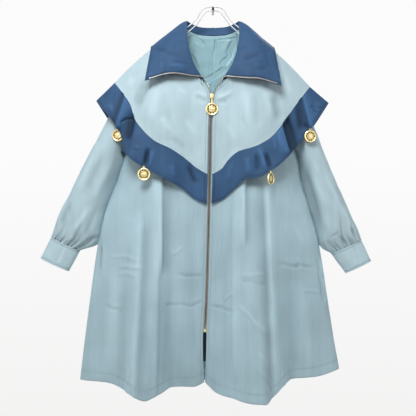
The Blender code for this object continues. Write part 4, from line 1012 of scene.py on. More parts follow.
def feed(tree, node, inputs):
    """Put sockets or values on a node's inputs."""
    for name, value in inputs.items():
        if isinstance(value, bpy.types.NodeSocket):
            tree.links.new(value, node.inputs[name])
        else:
            node.inputs[name].default_value = value


def add_node(tree, kind, inputs=None, **settings):
    """A node with its settings and inputs."""
    node = tree.nodes.new(kind)
    for name, value in settings.items():
        setattr(node, name, value)
    feed(tree, node, inputs or {})
    return node


def new_group(name, kind, inputs, outputs):
    """A node group with named sockets: the group, its input's sockets and its output node."""
    group = bpy.data.node_groups.new(name, kind)
    for in_out, sockets in (("INPUT", inputs), ("OUTPUT", outputs)):
        for title, socket_kind in sockets.items():
            group.interface.new_socket(title, in_out=in_out, socket_type="NodeSocket" + socket_kind)
    return group, add_node(group, "NodeGroupInput").outputs, add_node(group, "NodeGroupOutput")


def add_noise(tree, place, scale, detail, stretch=None, turn=(0, 0, 0)):
    """Noise over places, which may be stretched and turned first."""
    if stretch:
        drawn = add_node(tree, "ShaderNodeMapping", {"Vector": place, "Scale": stretch, "Rotation": turn})
        place = drawn.outputs["Vector"]
    noises = add_node(tree, "ShaderNodeTexNoise", {"Vector": place, "Scale": scale, "Detail": detail})
    return noises.outputs["Fac"]


def add_up(tree, first, second):
    """The sum of two values."""
    return add_node(tree, "ShaderNodeMath", {0: first, 1: second}, operation="ADD").outputs["Value"]


def rescale(tree, value, low, high, to_low=0.0, to_high=1.0):
    """A value moved from one range to another."""
    node = add_node(tree, "ShaderNodeMapRange", {"Value": value, "From Min": low, "From Max": high,
                                                 "To Min": to_low, "To Max": to_high})
    return node.outputs["Result"]


def between(tree, share, low, high):
    """A value between two others."""
    return rescale(tree, share, 0.0, 1.0, low, high)


def ramp(tree, share, dark, light, low=0.0, high=1.0):
    """A colour between two others."""
    node = add_node(tree, "ShaderNodeValToRGB", {"Fac": share})
    for stop, place, colour in zip(node.color_ramp.elements, (low, high), (dark, light)):
        stop.position = place
        stop.color = (*colour, 1)
    return node.outputs["Color"]


def bump(tree, height, strength, depth):
    """A normal that follows a slight relief."""
    node = add_node(tree, "ShaderNodeBump", {"Height": height, "Strength": strength, "Distance": depth})
    return node.outputs["Normal"]


def marked(tree, name):
    """A mark on the mesh, as a value."""
    return add_node(tree, "ShaderNodeAttribute", attribute_name=name).outputs["Fac"]


def make_twill():
    """Twill: fine diagonal ribs with uneven threads, on the cloth's cut map."""
    group, given, result = new_group("twill", "ShaderNodeTree", {"Cut": "Vector", "Ribs": "Float"},
                                     {"Height": "Float", "Slub": "Float"})
    ribs = add_node(group, "ShaderNodeTexWave",
                    {"Vector": given["Cut"], "Scale": given["Ribs"], "Distortion": RIB_WAVER,
                     "Detail": RIB_DETAIL}, bands_direction="DIAGONAL")
    slub = add_noise(group, given["Cut"], *SLUB)
    feed(group, result, {"Height": add_up(group, ribs.outputs["Fac"], slub), "Slub": slub})
    return group


def make_cloth_tone():
    """Soft changes of tone: broad fading and streaks that run down the cloth."""
    group, given, result = new_group("cloth_tone", "ShaderNodeTree", {"Place": "Vector", "Slub": "Float"},
                                     {"Tone": "Float"})
    broad = add_noise(group, given["Place"], *BROAD_FADING)
    streaks = add_noise(group, given["Place"], *STREAKS)
    total = add_up(group, add_up(group, broad, streaks), given["Slub"])
    feed(group, result, {"Tone": rescale(group, total, *TONE_RANGE)})
    return group


def make_metal_wear():
    """Wear of small metal parts: worn and dull spots, and fine scratches."""
    group, given, result = new_group("metal_wear", "ShaderNodeTree", {"Place": "Vector"},
                                     {"Spots": "Float", "Scratches": "Float"})
    feed(group, result, {"Spots": add_noise(group, given["Place"], *SPOTS),
                         "Scratches": add_noise(group, given["Place"], *SCRATCHES)})
    return group


# Materials

def new_material(name):
    """An empty Principled material: the material, its tree, its shader and its object coordinates."""
    material = bpy.data.materials.new(name)
    material.use_nodes = True
    tree = material.node_tree
    place = add_node(tree, "ShaderNodeTexCoord").outputs["Object"]
    return material, tree, tree.nodes["Principled BSDF"], place


def cloth_material(name, dark, light, rough, sheen, ribs, relief, folds):
    """Woven cloth: twill ribs, uneven tone and a soft sheen, with painted shade in its hollows and painted
    highlight on its ridges.
    """
    material, tree, shader, place = new_material(name)
    cut = add_node(tree, "ShaderNodeUVMap", uv_map=CUT_MAP).outputs["UV"]
    twill = add_node(tree, "ShaderNodeGroup", {"Cut": cut, "Ribs": ribs}, node_tree=TWILL).outputs
    spread = add_node(tree, "ShaderNodeGroup", {"Place": place, "Slub": twill["Slub"]}, node_tree=CLOTH_TONE)
    tone = spread.outputs["Tone"]
    shade = rescale(tree, marked(tree, PAINTED_FOLD_SHADE), -FOLD_RANGE, FOLD_RANGE, *folds)
    colour = add_node(tree, "ShaderNodeVectorMath", {0: ramp(tree, tone, dark, light), "Scale": shade},
                      operation="SCALE")
    feed(tree, shader, {"Base Color": colour.outputs["Vector"], "Roughness": between(tree, tone, *rough),
                        "Normal": bump(tree, twill["Height"], relief, WEAVE_DEPTH),
                        "Specular IOR Level": CLOTH_GLOSS, "Sheen Weight": sheen,
                        "Sheen Roughness": SHEEN_ROUGHNESS, "Sheen Tint": (*light, 1)})
    return material


def worn_material(name, dark, light, rough, spots, relief, metallic, mark, patina_and_shade):
    """A spotted surface with a fine relief, and in another colour where the piece is marked: patina in the
    gold's hollows, painted shade on the wire's sides.
    """
    material, tree, shader, place = new_material(name)
    wear = add_node(tree, "ShaderNodeGroup", {"Place": place}, node_tree=METAL_WEAR).outputs
    colour = ramp(tree, wear["Spots"], dark, light, *spots)
    if patina_and_shade:
        colour = add_node(tree, "ShaderNodeMixRGB", {"Fac": marked(tree, mark), "Color1": colour,
                                                     "Color2": (*patina_and_shade, 1)}).outputs["Color"]
    source, strength, depth = relief
    feed(tree, shader, {"Base Color": colour, "Roughness": between(tree, wear["Spots"], *rough),
                        "Normal": bump(tree, wear[source], strength, depth), "Metallic": metallic})
    return material


def metal_material(name, dark, light, rough, patina=None):
    """Cast or plated metal, worn and scratched, with a patina where a piece has its hollows marked."""
    return worn_material(name, dark, light, rough, METAL_SPOTS, METAL_RELIEF, 1.0, PATINA, patina)


def paint_material(name, dark, light, rough, shade_colour=None):
    """Dipped paint: nearly even, with a slight orange-peel skin, and painted shade in another colour where it
    is marked.
    """
    return worn_material(name, dark, light, rough, PAINT_SPOTS, PAINT_RELIEF, 0.0, WIRE_SIDE_SHADE, shade_colour)


def thread_material(name, dark, light):
    """Sewing thread with the twist of its plies."""
    material, tree, shader, place = new_material(name)
    twist = add_node(tree, "ShaderNodeTexWave",
                     {"Vector": place, "Scale": PLY_SCALE, "Distortion": PLY_WAVER},
                     bands_direction="DIAGONAL").outputs["Fac"]
    feed(tree, shader, {"Base Color": ramp(tree, twist, dark, light),
                        "Roughness": between(tree, twist, *THREAD_ROUGH)})
    return material


# Stage

def aim(thing, place, target):
    """Put a light or camera at a place, in millimetres, looking at a target."""
    spot = Vector(in_metres(place))
    thing.location = spot
    thing.rotation_euler = (Vector(in_metres(target)) - spot).to_track_quat("-Z", "Y").to_euler()
    bpy.context.scene.collection.objects.link(thing)


def make_camera():
    """The camera where the photograph was taken from."""
    lens = bpy.data.cameras.new("camera")
    lens.sensor_width = SENSOR
    lens.lens = SENSOR * CAMERA_DISTANCE / (PHOTO_PIXELS * PIXEL_SIZE)
    camera = bpy.data.objects.new("camera", lens)
    out = SCALE_PLANE_OUT + CAMERA_DISTANCE
    aim(camera, (CAMERA_ACROSS, CAMERA_DROP, out), (CAMERA_ACROSS, CAMERA_DROP, 0))
    bpy.context.scene.camera = camera


def make_lights():
    """Soft light from large lamps ahead and above, and a pale room."""
    for name, place, size, power in LAMPS:
        lamp = bpy.data.lights.new(name, "AREA")
        lamp.shape = "DISK"
        lamp.size = size * MM
        lamp.energy = power
        aim(bpy.data.objects.new(name, lamp), place, LAMP_TARGET)
    world = bpy.data.worlds.new("pale_room")
    world.use_nodes = True
    tree = world.node_tree
    tree.nodes.clear()
    way = add_node(tree, "ShaderNodeTexCoord").outputs["Generated"]
    height = add_node(tree, "ShaderNodeSeparateXYZ", {0: way}).outputs["Z"]
    seen = ramp(tree, rescale(tree, height, *WALL_FADE), WALL_LOW, WALL_HIGH)
    backdrop = add_node(tree, "ShaderNodeBackground", {"Color": seen, "Strength": 1.0})
    rays = add_node(tree, "ShaderNodeLightPath").outputs
    strength = between(tree, rays["Is Glossy Ray"], ROOM_STRENGTH, ROOM_GLOSS)
    room = add_node(tree, "ShaderNodeBackground", {"Color": (1, 1, 1, 1), "Strength": strength})
    mixed = add_node(tree, "ShaderNodeMixShader", {0: rays["Is Camera Ray"], 1: room.outputs[0],
                                                   2: backdrop.outputs[0]})
    add_node(tree, "ShaderNodeOutputWorld", {"Surface": mixed.outputs[0]})
    bpy.context.scene.world = world
    bpy.context.scene.view_settings.view_transform = "Standard"


def make_floor():
    """A plain pale floor, well below the hem."""
    reach = FLOOR_REACH
    corners = [(-reach, FLOOR_DROP, -reach), (reach, FLOOR_DROP, -reach), (reach, FLOOR_DROP, reach),
               (-reach, FLOOR_DROP, reach)]
    mesh = bpy.data.meshes.new("floor")
    mesh.from_pydata(in_metres(corners).tolist(), [], [(0, 1, 2, 3)])
    mesh.materials.append(FLOOR_PAINT)
    floor = bpy.data.objects.new("floor", mesh)
    bpy.context.scene.collection.objects.link(floor)


# Coat

def cut_cloth():
    """Every cloth piece on its CAD wall, made fine."""
    cuts = [(kind + "_" + name, side, kind) for side, name in SIDE_NAMES.items() for kind in PAIRED]
    cuts += [(node, LEFT, node) for node in SINGLE]
    return {node: Cloth(node, side, *GRIDS[grid]) for node, side, grid in cuts}


def build_cloth(pieces):
    """Make the shells, each in the outside material of its slot and lined or not."""
    outsides = {"dusty_blue": DUSTY_BLUE, "navy": NAVY, "teal_lining": LINING}
    for node, cloth in pieces.items():
        width, length, area, held, below, slot, lined = CUTS.get(node) or CUTS[cloth.kind]
        # The fronts and back take the darker copy of the dusty blue: painted shade
        outside = SHADED_BODY_BLUE if cloth.kind in ("front", "back") else outsides[slot]
        shell = cloth.build(outside, LINING if lined else None)


# Sewing and metalwork

def steps_along(tree, given):
    """Points at even steps along a path."""
    curve = add_node(tree, "GeometryNodeMeshToCurve", {"Mesh": given["Path"]}).outputs["Curve"]
    return add_node(tree, "GeometryNodeCurveToPoints", {"Curve": curve, "Length": given["Pitch"]},
                    mode="LENGTH").outputs


def close_tree(tree, instances, material, result, smooth):
    """End a tree: make the instances real, shade them and set their material."""
    real = add_node(tree, "GeometryNodeRealizeInstances", {"Geometry": instances}).outputs["Geometry"]
    shaded = add_node(tree, "GeometryNodeSetShadeSmooth", {"Geometry": real, "Shade Smooth": smooth})
    finished = add_node(tree, "GeometryNodeSetMaterial", {"Geometry": shaded.outputs["Geometry"],
                                                          "Material": material})
    feed(tree, result, {0: finished.outputs["Geometry"]})


def make_stitching():
    """Stitches along a path: a short rounded bar of thread at each step."""
    tree, given, result = new_group("stitching", "GeometryNodeTree",
                                    {"Path": "Geometry", "Pitch": "Float", "Length": "Float",
                                     "Thickness": "Float", "Thread": "Material"}, {"Stitches": "Geometry"})
    spots = steps_along(tree, given)
    sides, rings = STITCH_SIDES
    bar = add_node(tree, "GeometryNodeMeshUVSphere", {"Segments": sides, "Rings": rings, "Radius": 0.5})
    size = add_node(tree, "ShaderNodeCombineXYZ", {"X": given["Thickness"], "Y": given["Thickness"],
                                                   "Z": given["Length"]})
    placed = add_node(tree, "GeometryNodeInstanceOnPoints",
                      {"Points": spots["Points"], "Instance": bar.outputs["Mesh"],
                       "Rotation": spots["Rotation"], "Scale": size.outputs["Vector"]})
    close_tree(tree, placed.outputs["Instances"], given["Thread"], result, True)
    return tree


def make_teeth():
    """Zip teeth along a path: one at each step, turned along the path with its face outwards."""
    tree, given, result = new_group("zip_teeth", "GeometryNodeTree",
                                    {"Path": "Geometry", "Pitch": "Float", "Tooth": "Object",
                                     "Metal": "Material"}, {"Teeth": "Geometry"})
    spots = steps_along(tree, given)
    outward = add_node(tree, "GeometryNodeInputNamedAttribute", {"Name": OUTWARD}, data_type="FLOAT_VECTOR")
    along = add_node(tree, "FunctionNodeAlignRotationToVector", {"Vector": spots["Tangent"]}, axis="X")
    turned = add_node(tree, "FunctionNodeAlignRotationToVector",
                      {"Rotation": along.outputs["Rotation"], "Vector": outward.outputs["Attribute"]},
                      axis="Z", pivot_axis="X")
    tooth = add_node(tree, "GeometryNodeObjectInfo", {"Object": given["Tooth"]})
    placed = add_node(tree, "GeometryNodeInstanceOnPoints",
                      {"Points": spots["Points"], "Instance": tooth.outputs["Geometry"],
                       "Rotation": turned.outputs["Rotation"]})
    close_tree(tree, placed.outputs["Instances"], given["Metal"], result, False)
    return tree


def path_mesh(name, paths, outwards=None):
    """Paths of points as one mesh of edges, with the way outwards at each point if it is given."""
    counts = np.cumsum([0] + [len(path) for path in paths])
    edges = [(place, place + 1) for start, end in zip(counts, counts[1:])
             for place in range(start, end - 1)]
    mesh = bpy.data.meshes.new(name)
    mesh.from_pydata(in_metres(np.concatenate(paths)).tolist(), edges, [])
    if outwards is not None:
        ways = swap_axes(np.concatenate(outwards)).astype(np.float32)
        mesh.attributes.new(OUTWARD, "FLOAT_VECTOR", "POINT").data.foreach_set("vector", ways.ravel())
    return mesh


def grow(base, tree, values):
    """Run a tree on a mesh and keep what it makes as a plain mesh."""
    thing = bpy.data.objects.new(base.name, base)
    bpy.context.scene.collection.objects.link(thing)
    modifier = thing.modifiers.new(tree.name, "NODES")
    modifier.node_group = tree
    for item in tree.interface.items_tree:
        if item.in_out == "INPUT" and item.name in values:
            modifier[item.identifier] = values[item.name]
    bpy.context.view_layer.update()
    mesh = bpy.data.meshes.new_from_object(thing.evaluated_get(bpy.context.evaluated_depsgraph_get()))
    thing.modifiers.remove(modifier)
    bpy.data.objects.remove(thing)
    name = base.name
    bpy.data.meshes.remove(base)
    mesh.name = name
    return mesh


def add_piece(mesh, body, slot, *nodes):
    """Put a finished mesh on a body as a piece, in the place of nodes if there are any."""
    thing = bpy.data.objects.new(mesh.name, mesh)
    bpy.context.scene.collection.objects.link(thing)
    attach(thing, body)
    if nodes:
        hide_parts(*nodes)
    return thing


def shape_mesh(name, shape, material, smooth=True):
    """A bmesh as a mesh with its faces outwards."""
    bmesh.ops.recalc_face_normals(shape, faces=shape.faces)
    mesh = bpy.data.meshes.new(name)
    shape.to_mesh(mesh)
    shape.free()
    mesh.materials.append(material)
    if smooth:
        mesh.shade_smooth()
        mesh.set_sharp_from_angle(angle=SHARP_ANGLE)
    return mesh


def add_plate(shape, outline, depth, place, rounding, axes=((1, 0, 0), (0, 0, -1), (0, -1, 0))):
    """Add an outline drawn out over a depth, with rounded edges; sizes in millimetres, place in metres."""
    across, down, out = (Vector(axis) for axis in axes)
    low, high = ([shape.verts.new(place + (across * x + down * y + out * z) * MM) for x, y in outline]
                 for z in depth)
    faces = [shape.faces.new(low), shape.faces.new(high[::-1])]
    for first, second in zip(range(-1, len(outline) - 1), range(len(outline))):
        faces.append(shape.faces.new((low[first], high[first], high[second], low[second])))
    edges = list({edge for face in faces for edge in face.edges})
    bmesh.ops.bevel(shape, geom=edges, offset=rounding * MM, segments=PLATE_SEGMENTS, profile=PLATE_PROFILE,
                    affect="EDGES", clamp_overlap=True)


def both_sides(outline):
    """A symmetric outline from its half widths."""
    return [(width, drop) for width, drop in outline] + [(-width, drop) for width, drop in outline[::-1]]


def skin(shape, rows):
    """Join each ring of vertices to the next."""
    for row, after in zip(rows, rows[1:]):
        for step in range(len(row)):
            beside = (step + 1) % len(row)
            shape.faces.new((row[step], row[beside], after[beside], after[step]))


def round_angles(count):
    """Even angles round a circle."""
    return np.linspace(0, 2 * np.pi, count, endpoint=False)


def add_ring(shape, centre, axis, radius, wire, width=None, sides=RING_SIDES):
    """Add a ring of round wire, or of wire that is wider along the ring's axis."""
    axis = Vector(axis).normalized()
    first = axis.orthogonal().normalized()
    second = axis.cross(first)
    rows = []
    for turn in round_angles(sides[0]):
        way = first * math.cos(turn) + second * math.sin(turn)
        row = []
        for angle in round_angles(sides[1]):
            aside = axis * (width or wire) * math.sin(angle)
            row.append(shape.verts.new(centre + (way * (radius + wire * math.cos(angle)) + aside) * MM))
        rows.append(row)
    skin(shape, rows + rows[:1])


def medal_face(radius, turns):
    """A medallion's front: a beaded rim, a sunk ring and a rosette; and how dark its hollows are."""
    low, crest, edge = RIM
    rise = np.where(radius < crest, (radius - low) / (crest - low), (edge - radius) / (edge - crest))
    rise = np.clip(rise, 0, 1)
    rim = RIM_HEIGHT * np.sqrt(rise) + RIM_LIP * (radius > crest) * rise
    beads = BEAD_HEIGHT * np.clip(np.cos(BEADS * turns), 0, 1) * ease(1 - abs(radius - crest) / BEAD_REACH)
    scallop = PETAL_EDGE[0] + PETAL_EDGE[1] * np.cos(PETALS * turns)
    inside = ease((scallop - radius) / PETAL_SLOPE + 0.5)
    hollow = 1 - abs(np.sin(PETALS * turns / 2)) ** GROOVE_POWER
    outside_boss = ease((radius - BOSS[0]) / GROOVE_START)
    petals = inside * (PETAL_HEIGHT - PETAL_GROOVE * hollow * outside_boss)
    boss = BOSS[1] * np.sqrt(np.clip(1 - (radius / BOSS[0]) ** 2, 0, 1))
    pips = ease(np.cos(PIPS * turns) * PIP_GAIN - PIP_GAP) * ease(1 - abs(radius - PIP_RADIUS) / PIP_REACH)
    ring = (1 - inside) * ease((low + RING_EDGE[0] - radius) / RING_EDGE[1]) * (1 - pips)
    dark = np.maximum(ring, GROOVE_DARK * inside * hollow * outside_boss)
    return RING_FACE + rim + beads + petals + boss + PIP_HEIGHT * pips, dark


def add_medal(shape, centre, yaw):
    """Add a medallion whose face is turned by the yaw; its hollows are marked for the patina."""
    patina = shape.verts.layers.float.get(PATINA) or shape.verts.layers.float.new(PATINA)
    turn = Matrix.Rotation(yaw, 3, "Z")
    turns = round_angles(MEDAL_SIDES)

    def add_point(radius, angle, out, dark):
        place = Vector((radius * math.sin(angle), -out, radius * math.cos(angle)))
        vertex = shape.verts.new(centre + turn @ place * MM)
        vertex[patina] = dark
        return vertex

    rows = []
    for radius in MEDAL_RINGS:
        fronts, darks = medal_face(np.full(MEDAL_SIDES, radius), turns)
        rows.append([add_point(radius, *row) for row in zip(turns, fronts, darks)])
    for radius, back in MEDAL_BACK_ROWS:
        rows.append([add_point(radius, angle, back, 0) for angle in turns])
    skin(shape, rows)
    front, _ = medal_face(np.zeros(1), np.zeros(1))
    for row, out in ((rows[0], front[0]), (rows[-1], MEDAL_BACK_ROWS[-1][1])):
        middle = add_point(0, 0, out, 0)
        for step in range(MEDAL_SIDES):
            shape.faces.new((row[step], row[(step + 1) % MEDAL_SIDES], middle))


def make_charms():
    """Medallion charms on their bails, each on its own body, and the thread loops that hold them."""
    threads = bmesh.new()
    for joint in frame["joints"]:
        node = joint["child"]
        if not node.startswith("charm"):
            continue
        top = Vector(joint["pos_m"])
        yaw = math.radians(CHARM_YAWS[node])
        shape = bmesh.new()
        hole = top - Vector((0, 0, BAIL_RADIUS * MM))
        add_medal(shape, hole - Vector((0, 0, BAIL_TO_MEDAL * MM)), yaw)
        aside = Vector((math.cos(yaw), math.sin(yaw), 0))
        add_ring(shape, hole, aside.cross(Vector((0, 0, 1))), *BAIL)
        add_piece(shape_mesh(node + "_medallion", shape, GOLD), node, "gold", node)
        add_ring(threads, top + Vector((0, 0, THREAD_RISE * MM)), aside, *THREAD_LOOP, sides=THREAD_SIDES)
    add_piece(shape_mesh("charm_threads", threads, NAVY_THREAD), COAT, "navy")


def make_zip_pull():
    """The pull: an eye round the slider's pin, a waisted stem and a medallion."""
    pin = Vector(next(joint["pos_m"] for joint in frame["joints"] if joint["child"] == "zip_pull"))
    shape = bmesh.new()
    add_medal(shape, pin - Vector((0, 0, PULL_LENGTH * MM)), 0)
    radius, wire, width = EYE
    add_ring(shape, pin, (1, 0, 0), radius, wire, width, EYE_SIDES)
    add_plate(shape, both_sides(STEM_OUTLINE), (-STEM_HALF, STEM_HALF), pin, STEM_ROUNDING)
    add_piece(shape_mesh("zip_pull_medallion", shape, GOLD), "zip_pull", "gold", "zip_pull")
    return pin


def make_slider(pin):
    """The slider: a plate that narrows downwards, with ears that hold the pin."""
    plate = Vector((pin.x, pin.y + (PIN_STAND + SLIDER_HALF) * MM, -SLIDER_DROP * MM))
    shape = bmesh.new()
    add_plate(shape, both_sides(SLIDER_OUTLINE), (-SLIDER_HALF, SLIDER_HALF), plate, SLIDER_ROUNDING)
    sideways = ((0, 0, -1), (0, -1, 0), (1, 0, 0))
    for end in (-1, 1):
        root = Vector((pin.x + end * EAR_PLACE * MM, plate.y - SLIDER_HALF * MM, pin.z))
        add_plate(shape, EAR_OUTLINE, (-EAR_HALF, EAR_HALF), root, EAR_ROUNDING, sideways)
    turn = Matrix.Translation(pin) @ Matrix.Rotation(math.pi / 2, 4, "Y")
    bmesh.ops.create_cone(shape, cap_ends=True, segments=PIN_SIDES, radius1=PIN_RADIUS * MM,
                          radius2=PIN_RADIUS * MM, depth=2 * PIN_HALF * MM, matrix=turn)
    add_piece(shape_mesh("zip_slider_body", shape, GOLD), COAT, "gold", "zip_slider")


def make_box_end():
    """The box at the foot of the zip, with rounded edges."""
    low, high = (Vector(corner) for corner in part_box("zip_box"))
    half = (high - low) / 2 / MM
    shape = bmesh.new()
    outline = ((-half.x, -half.z), (half.x, -half.z), (half.x, half.z), (-half.x, half.z))
    add_plate(shape, outline, (-half.y, half.y), (low + high) / 2, BOX_ROUNDING)
    add_piece(shape_mesh("zip_box_end", shape, GOLD), COAT, "gold", "zip_box")


def strip_path(node):
    """The middle line of a swept strip from its lower end, and the way that its face looks."""
    points, triangles = wall_of(node)
    near = next_to(triangles)
    rings = [set(np.argsort(-points[:, 1])[:STRIP_CORNERS].tolist())]
    seen = set(rings[0])
    while seen != set(near):
        rings.append(set().union(*(near[vertex] for vertex in rings[-1])) - seen)
        seen |= rings[-1]
    middles = []
    faces = []
    way = np.array(AHEAD, float)
    for ring in rings:
        corners = points[list(ring)]
        middle = corners.mean(axis=0)
        order = np.argsort(-(corners - middle) @ way)
        way = unit(corners[order[:2]].mean(axis=0) - middle)
        middles.append(middle)
        faces.append(way)
    fine = smooth_rows(np.stack([middles, faces], axis=1), PATH_STEPS)
    return fine[:, 0], unit(fine[:, 1])


def strip_mesh(name, path, outwards, size, sink, material):
    """A flat strip along a path, sunk below it."""
    wide = unit(np.cross(np.gradient(path, axis=0), outwards)) * size[0] / 2
    deep = outwards * size[1] / 2
    middle = path - outwards * sink
    corners = (middle - wide - deep, middle + wide - deep, middle + wide + deep, middle - wide + deep)
    shape = bmesh.new()
    rings = [[shape.verts.new(point) for point in ring] for ring in in_metres(np.stack(corners, axis=1))]
    skin(shape, rings)
    for end in (rings[0], rings[-1]):
        shape.faces.new(end)
    return shape_mesh(name, shape, material)


def make_zip():
    """Both halves of the zip: teeth in turn from left and right, on the cord that holds them."""
    shape = bmesh.new()
    bmesh.ops.create_cube(shape, size=1, matrix=Matrix.Diagonal((*TOOTH_SIZE, 1 / MM)) * MM)
    bmesh.ops.bevel(shape, geom=list(shape.edges), offset=TOOTH_ROUNDING * MM, segments=1, affect="EDGES")
    tooth = bpy.data.objects.new("tooth", shape_mesh("tooth", shape, ZIP_BRASS, smooth=False))
    teeth_tree = make_teeth()
    values = {"Pitch": TOOTH_PITCH * MM, "Tooth": tooth, "Metal": ZIP_BRASS}
    for side, name in SIDE_NAMES.items():
        path, outwards = strip_path("zip_" + name)
        if side == LEFT:
            sag(path)
            path[0] = path[0] + unit(path[1] - path[0]) * TOOTH_PITCH / 2
        teeth = grow(path_mesh("zip_teeth_" + name, [path], [outwards]), teeth_tree, values)
        add_piece(teeth, COAT, "zip_brass", "zip_" + name)
        cord = strip_mesh("zip_cord_" + name, path, outwards, CORD_SIZE, CORD_SINK, ZIP_TAPE)
        add_piece(cord, COAT, "zip_brass")
    bpy.data.objects.remove(tooth)


def pocket_tacks(front):
    """Bar tacks at both ends of the pocket's slit."""
    tacks = []
    for across, drop, to_across, to_drop in POCKET_TACKS:
        ends = []
        for place in ((across, drop), (to_across, to_drop)):
            gaps = np.linalg.norm(front.points[..., :2] - np.array(place), axis=-1)
            ends.append(front.points[np.unravel_index(gaps.argmin(), gaps.shape)] + (0, 0, STITCH_LIFT))
        tacks.append(np.linspace(*ends, TACK_STEPS))
    return tacks


def sew(pieces):
    """Topstitching along the edges, in thread that matches each cloth, and a paler thread along the cape's
    lower edge that paints a highlight there.
    """
    paths = {"blue": pocket_tacks(pieces["front_right"]), "navy": [], "pale": []}
    for node, cloth in pieces.items():
        for edge, inset in seams_of(node):
            line = cloth.line(edge, inset, STITCH_LIFT)
            colour = "navy" if cloth.kind in ("band", "collar") else "blue"
            # The cape's lower edge is sewn in a paler thread that paints a highlight there
            if cloth.kind == "cape" and edge[0] == "columns":
                colour = "pale"
            paths[colour].append(np.concatenate([line, line[:1]]) if cloth.closed else line)
    stitching = make_stitching()
    for colour, thread, sizes, slot in (("blue", BLUE_THREAD, STITCH, "dusty_blue"),
                                        ("navy", NAVY_THREAD, STITCH, "navy"),
                                        ("pale", HIGHLIGHT_THREAD, HIGHLIGHT_STITCH, "dusty_blue")):
        pitch, length, thickness = (size * MM for size in sizes)
        values = {"Pitch": pitch, "Length": length, "Thickness": thickness, "Thread": thread}
        add_piece(grow(path_mesh("stitches_" + colour, paths[colour]), stitching, values), COAT, slot)


def make_zip_guard(pieces):
    """A near-black navy strip behind the zip's end, which paints the shade that the slit below it shows."""
    drops = np.linspace(*GUARD_DROPS, GUARD_STEPS)
    sides = []
    for name in SIDE_NAMES.values():
        edge = by_drop(pieces["front_" + name].points[0])
        sides.append(np.stack([np.interp(drops, edge[:, 1], edge[:, way]) for way in range(3)], axis=1))
    outwards = np.tile(np.array(AHEAD, float), (GUARD_STEPS, 1))
    strip = strip_mesh("zip_guard", (sides[0] + sides[1]) / 2, outwards, GUARD_SIZE, GUARD_SINK, GUARD_SHADE_NAVY)
    guard = add_piece(strip, COAT, "navy")


def make_wire():
    """The hanger's wire, made round; its sides are marked for painted shade, dark where they face neither
    front nor back.
    """
    shape = cad_shape("hanger")
    bmesh.ops.join_triangles(shape, faces=shape.faces, angle_face_threshold=math.pi,
                             angle_shape_threshold=math.pi)
    shape.normal_update()
    rubbed = shape.verts.layers.float.new(WIRE_SIDE_SHADE)
    for vertex in shape.verts:
        vertex[rubbed] = 1 - abs(vertex.normal.y)
    wire = add_piece(shape_mesh("hanger_wire", shape, WHITE_WIRE), COAT, "white_wire", "hanger")
    smooth = wire.modifiers.new("round", "SUBSURF")
    smooth.levels = smooth.render_levels = 1


def make_peg():
    """The peg, with rounded edges, painted like the wall apart from its tip."""
    shape = cad_shape("wall_peg")
    bmesh.ops.dissolve_limit(shape, angle_limit=FLAT_ANGLE, verts=shape.verts, edges=shape.edges)
    bmesh.ops.bevel(shape, geom=list(shape.edges), offset=PEG_ROUNDING * MM, segments=PEG_SEGMENTS,
                    affect="EDGES")
    whole = list(shape.verts) + list(shape.edges) + list(shape.faces)
    bmesh.ops.bisect_plane(shape, geom=whole, plane_co=(0, -PEG_BARE_OUT * MM, 0), plane_no=(0, 1, 0))
    for face in shape.faces:
        face.material_index = int(face.calc_center_median().y > -PEG_BARE_OUT * MM)
    mesh = shape_mesh("wall_peg_steel", shape, DARK_STEEL)
    mesh.materials.append(WALL_PAINT)
    add_piece(mesh, COAT, "dark_steel", "wall_peg")


TWILL = make_twill()
CLOTH_TONE = make_cloth_tone()
METAL_WEAR = make_metal_wear()
DUSTY_BLUE = cloth_material("dusty_blue_twill", (0.37, 0.495, 0.548), (0.445, 0.578, 0.63), (0.5, 0.62), 0.2,
                            TWILL_RIBS, 0.12, BLUE_FOLD_SHADE)
# Painted shade: a darker copy of the dusty blue for the fronts and back, with stronger fold shade
SHADED_BODY_BLUE = cloth_material("body_blue_twill", (0.308, 0.431, 0.488), (0.372, 0.506, 0.562), (0.5, 0.62), 0.2,
                           TWILL_RIBS, 0.12, BODY_FOLD_SHADE)
NAVY = cloth_material("navy_twill", (0.0255, 0.0675, 0.145), (0.0405, 0.099, 0.204), (0.6, 0.72), 0.06,
                      TWILL_RIBS, 0.05, NAVY_FOLD_SHADE)
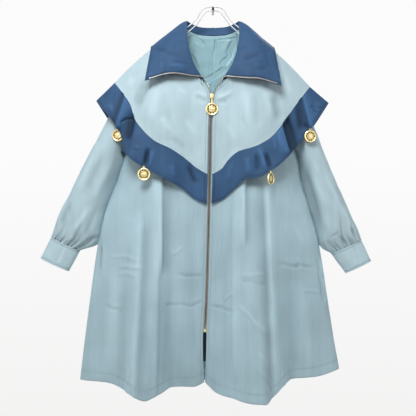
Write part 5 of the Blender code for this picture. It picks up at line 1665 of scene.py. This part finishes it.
# Painted shade: near-black navy for the strip that stands in for the shade inside the slit below the zip
GUARD_SHADE_NAVY = cloth_material("guard_twill", (0.004, 0.009, 0.018), (0.007, 0.014, 0.026), (0.7, 0.8), 0.0,
                            TWILL_RIBS, 0.05, NAVY_FOLD_SHADE)
LINING = cloth_material("teal_satin", (0.335, 0.56, 0.625), (0.42, 0.65, 0.71), (0.4, 0.5), 0.1,
                        SATIN_RIBS, 0.06, LINING_FOLD_SHADE)
GOLD = metal_material("gold_plate", (0.80, 0.60, 0.25), (0.96, 0.80, 0.43), (0.22, 0.4), (0.10, 0.065, 0.025))
ZIP_BRASS = metal_material("zip_brass", (0.30, 0.272, 0.23), (0.44, 0.40, 0.34), (0.35, 0.5))
ZIP_TAPE = paint_material("zip_tape", (0.25, 0.238, 0.225), (0.33, 0.315, 0.30), (0.7, 0.85))
BLUE_THREAD = thread_material("blue_thread", (0.20, 0.31, 0.36), (0.28, 0.40, 0.46))
# Painted highlight: a thread paler than the cloth, for the light along the cape's lower edge
HIGHLIGHT_THREAD = thread_material("pale_thread", (0.56, 0.69, 0.73), (0.68, 0.80, 0.83))
NAVY_THREAD = thread_material("navy_thread", (0.008, 0.024, 0.06), (0.016, 0.045, 0.10))
# Painted shade: near-black on the wire's sides, for the wire's dark outlines
WHITE_WIRE = paint_material("white_wire", (0.78, 0.78, 0.80), (0.86, 0.86, 0.87), (0.3, 0.4),
                            (0.07, 0.07, 0.085))
FLOOR_PAINT = paint_material("floor_paint", (0.78, 0.78, 0.77), (0.82, 0.82, 0.81), (0.7, 0.8))
WALL_PAINT = paint_material("wall_paint", (0.84, 0.84, 0.84), (0.88, 0.88, 0.88), (0.5, 0.6))
DARK_STEEL = metal_material("dark_steel", (0.05, 0.05, 0.055), (0.1, 0.1, 0.105), (0.45, 0.6))

make_camera()
make_lights()
make_floor()
cloth_pieces = cut_cloth()
shape_cloth(cloth_pieces)
build_cloth(cloth_pieces)
sew(cloth_pieces)
make_zip_guard(cloth_pieces)
make_zip()
make_slider(make_zip_pull())
make_box_end()
make_charms()
make_wire()
make_peg()
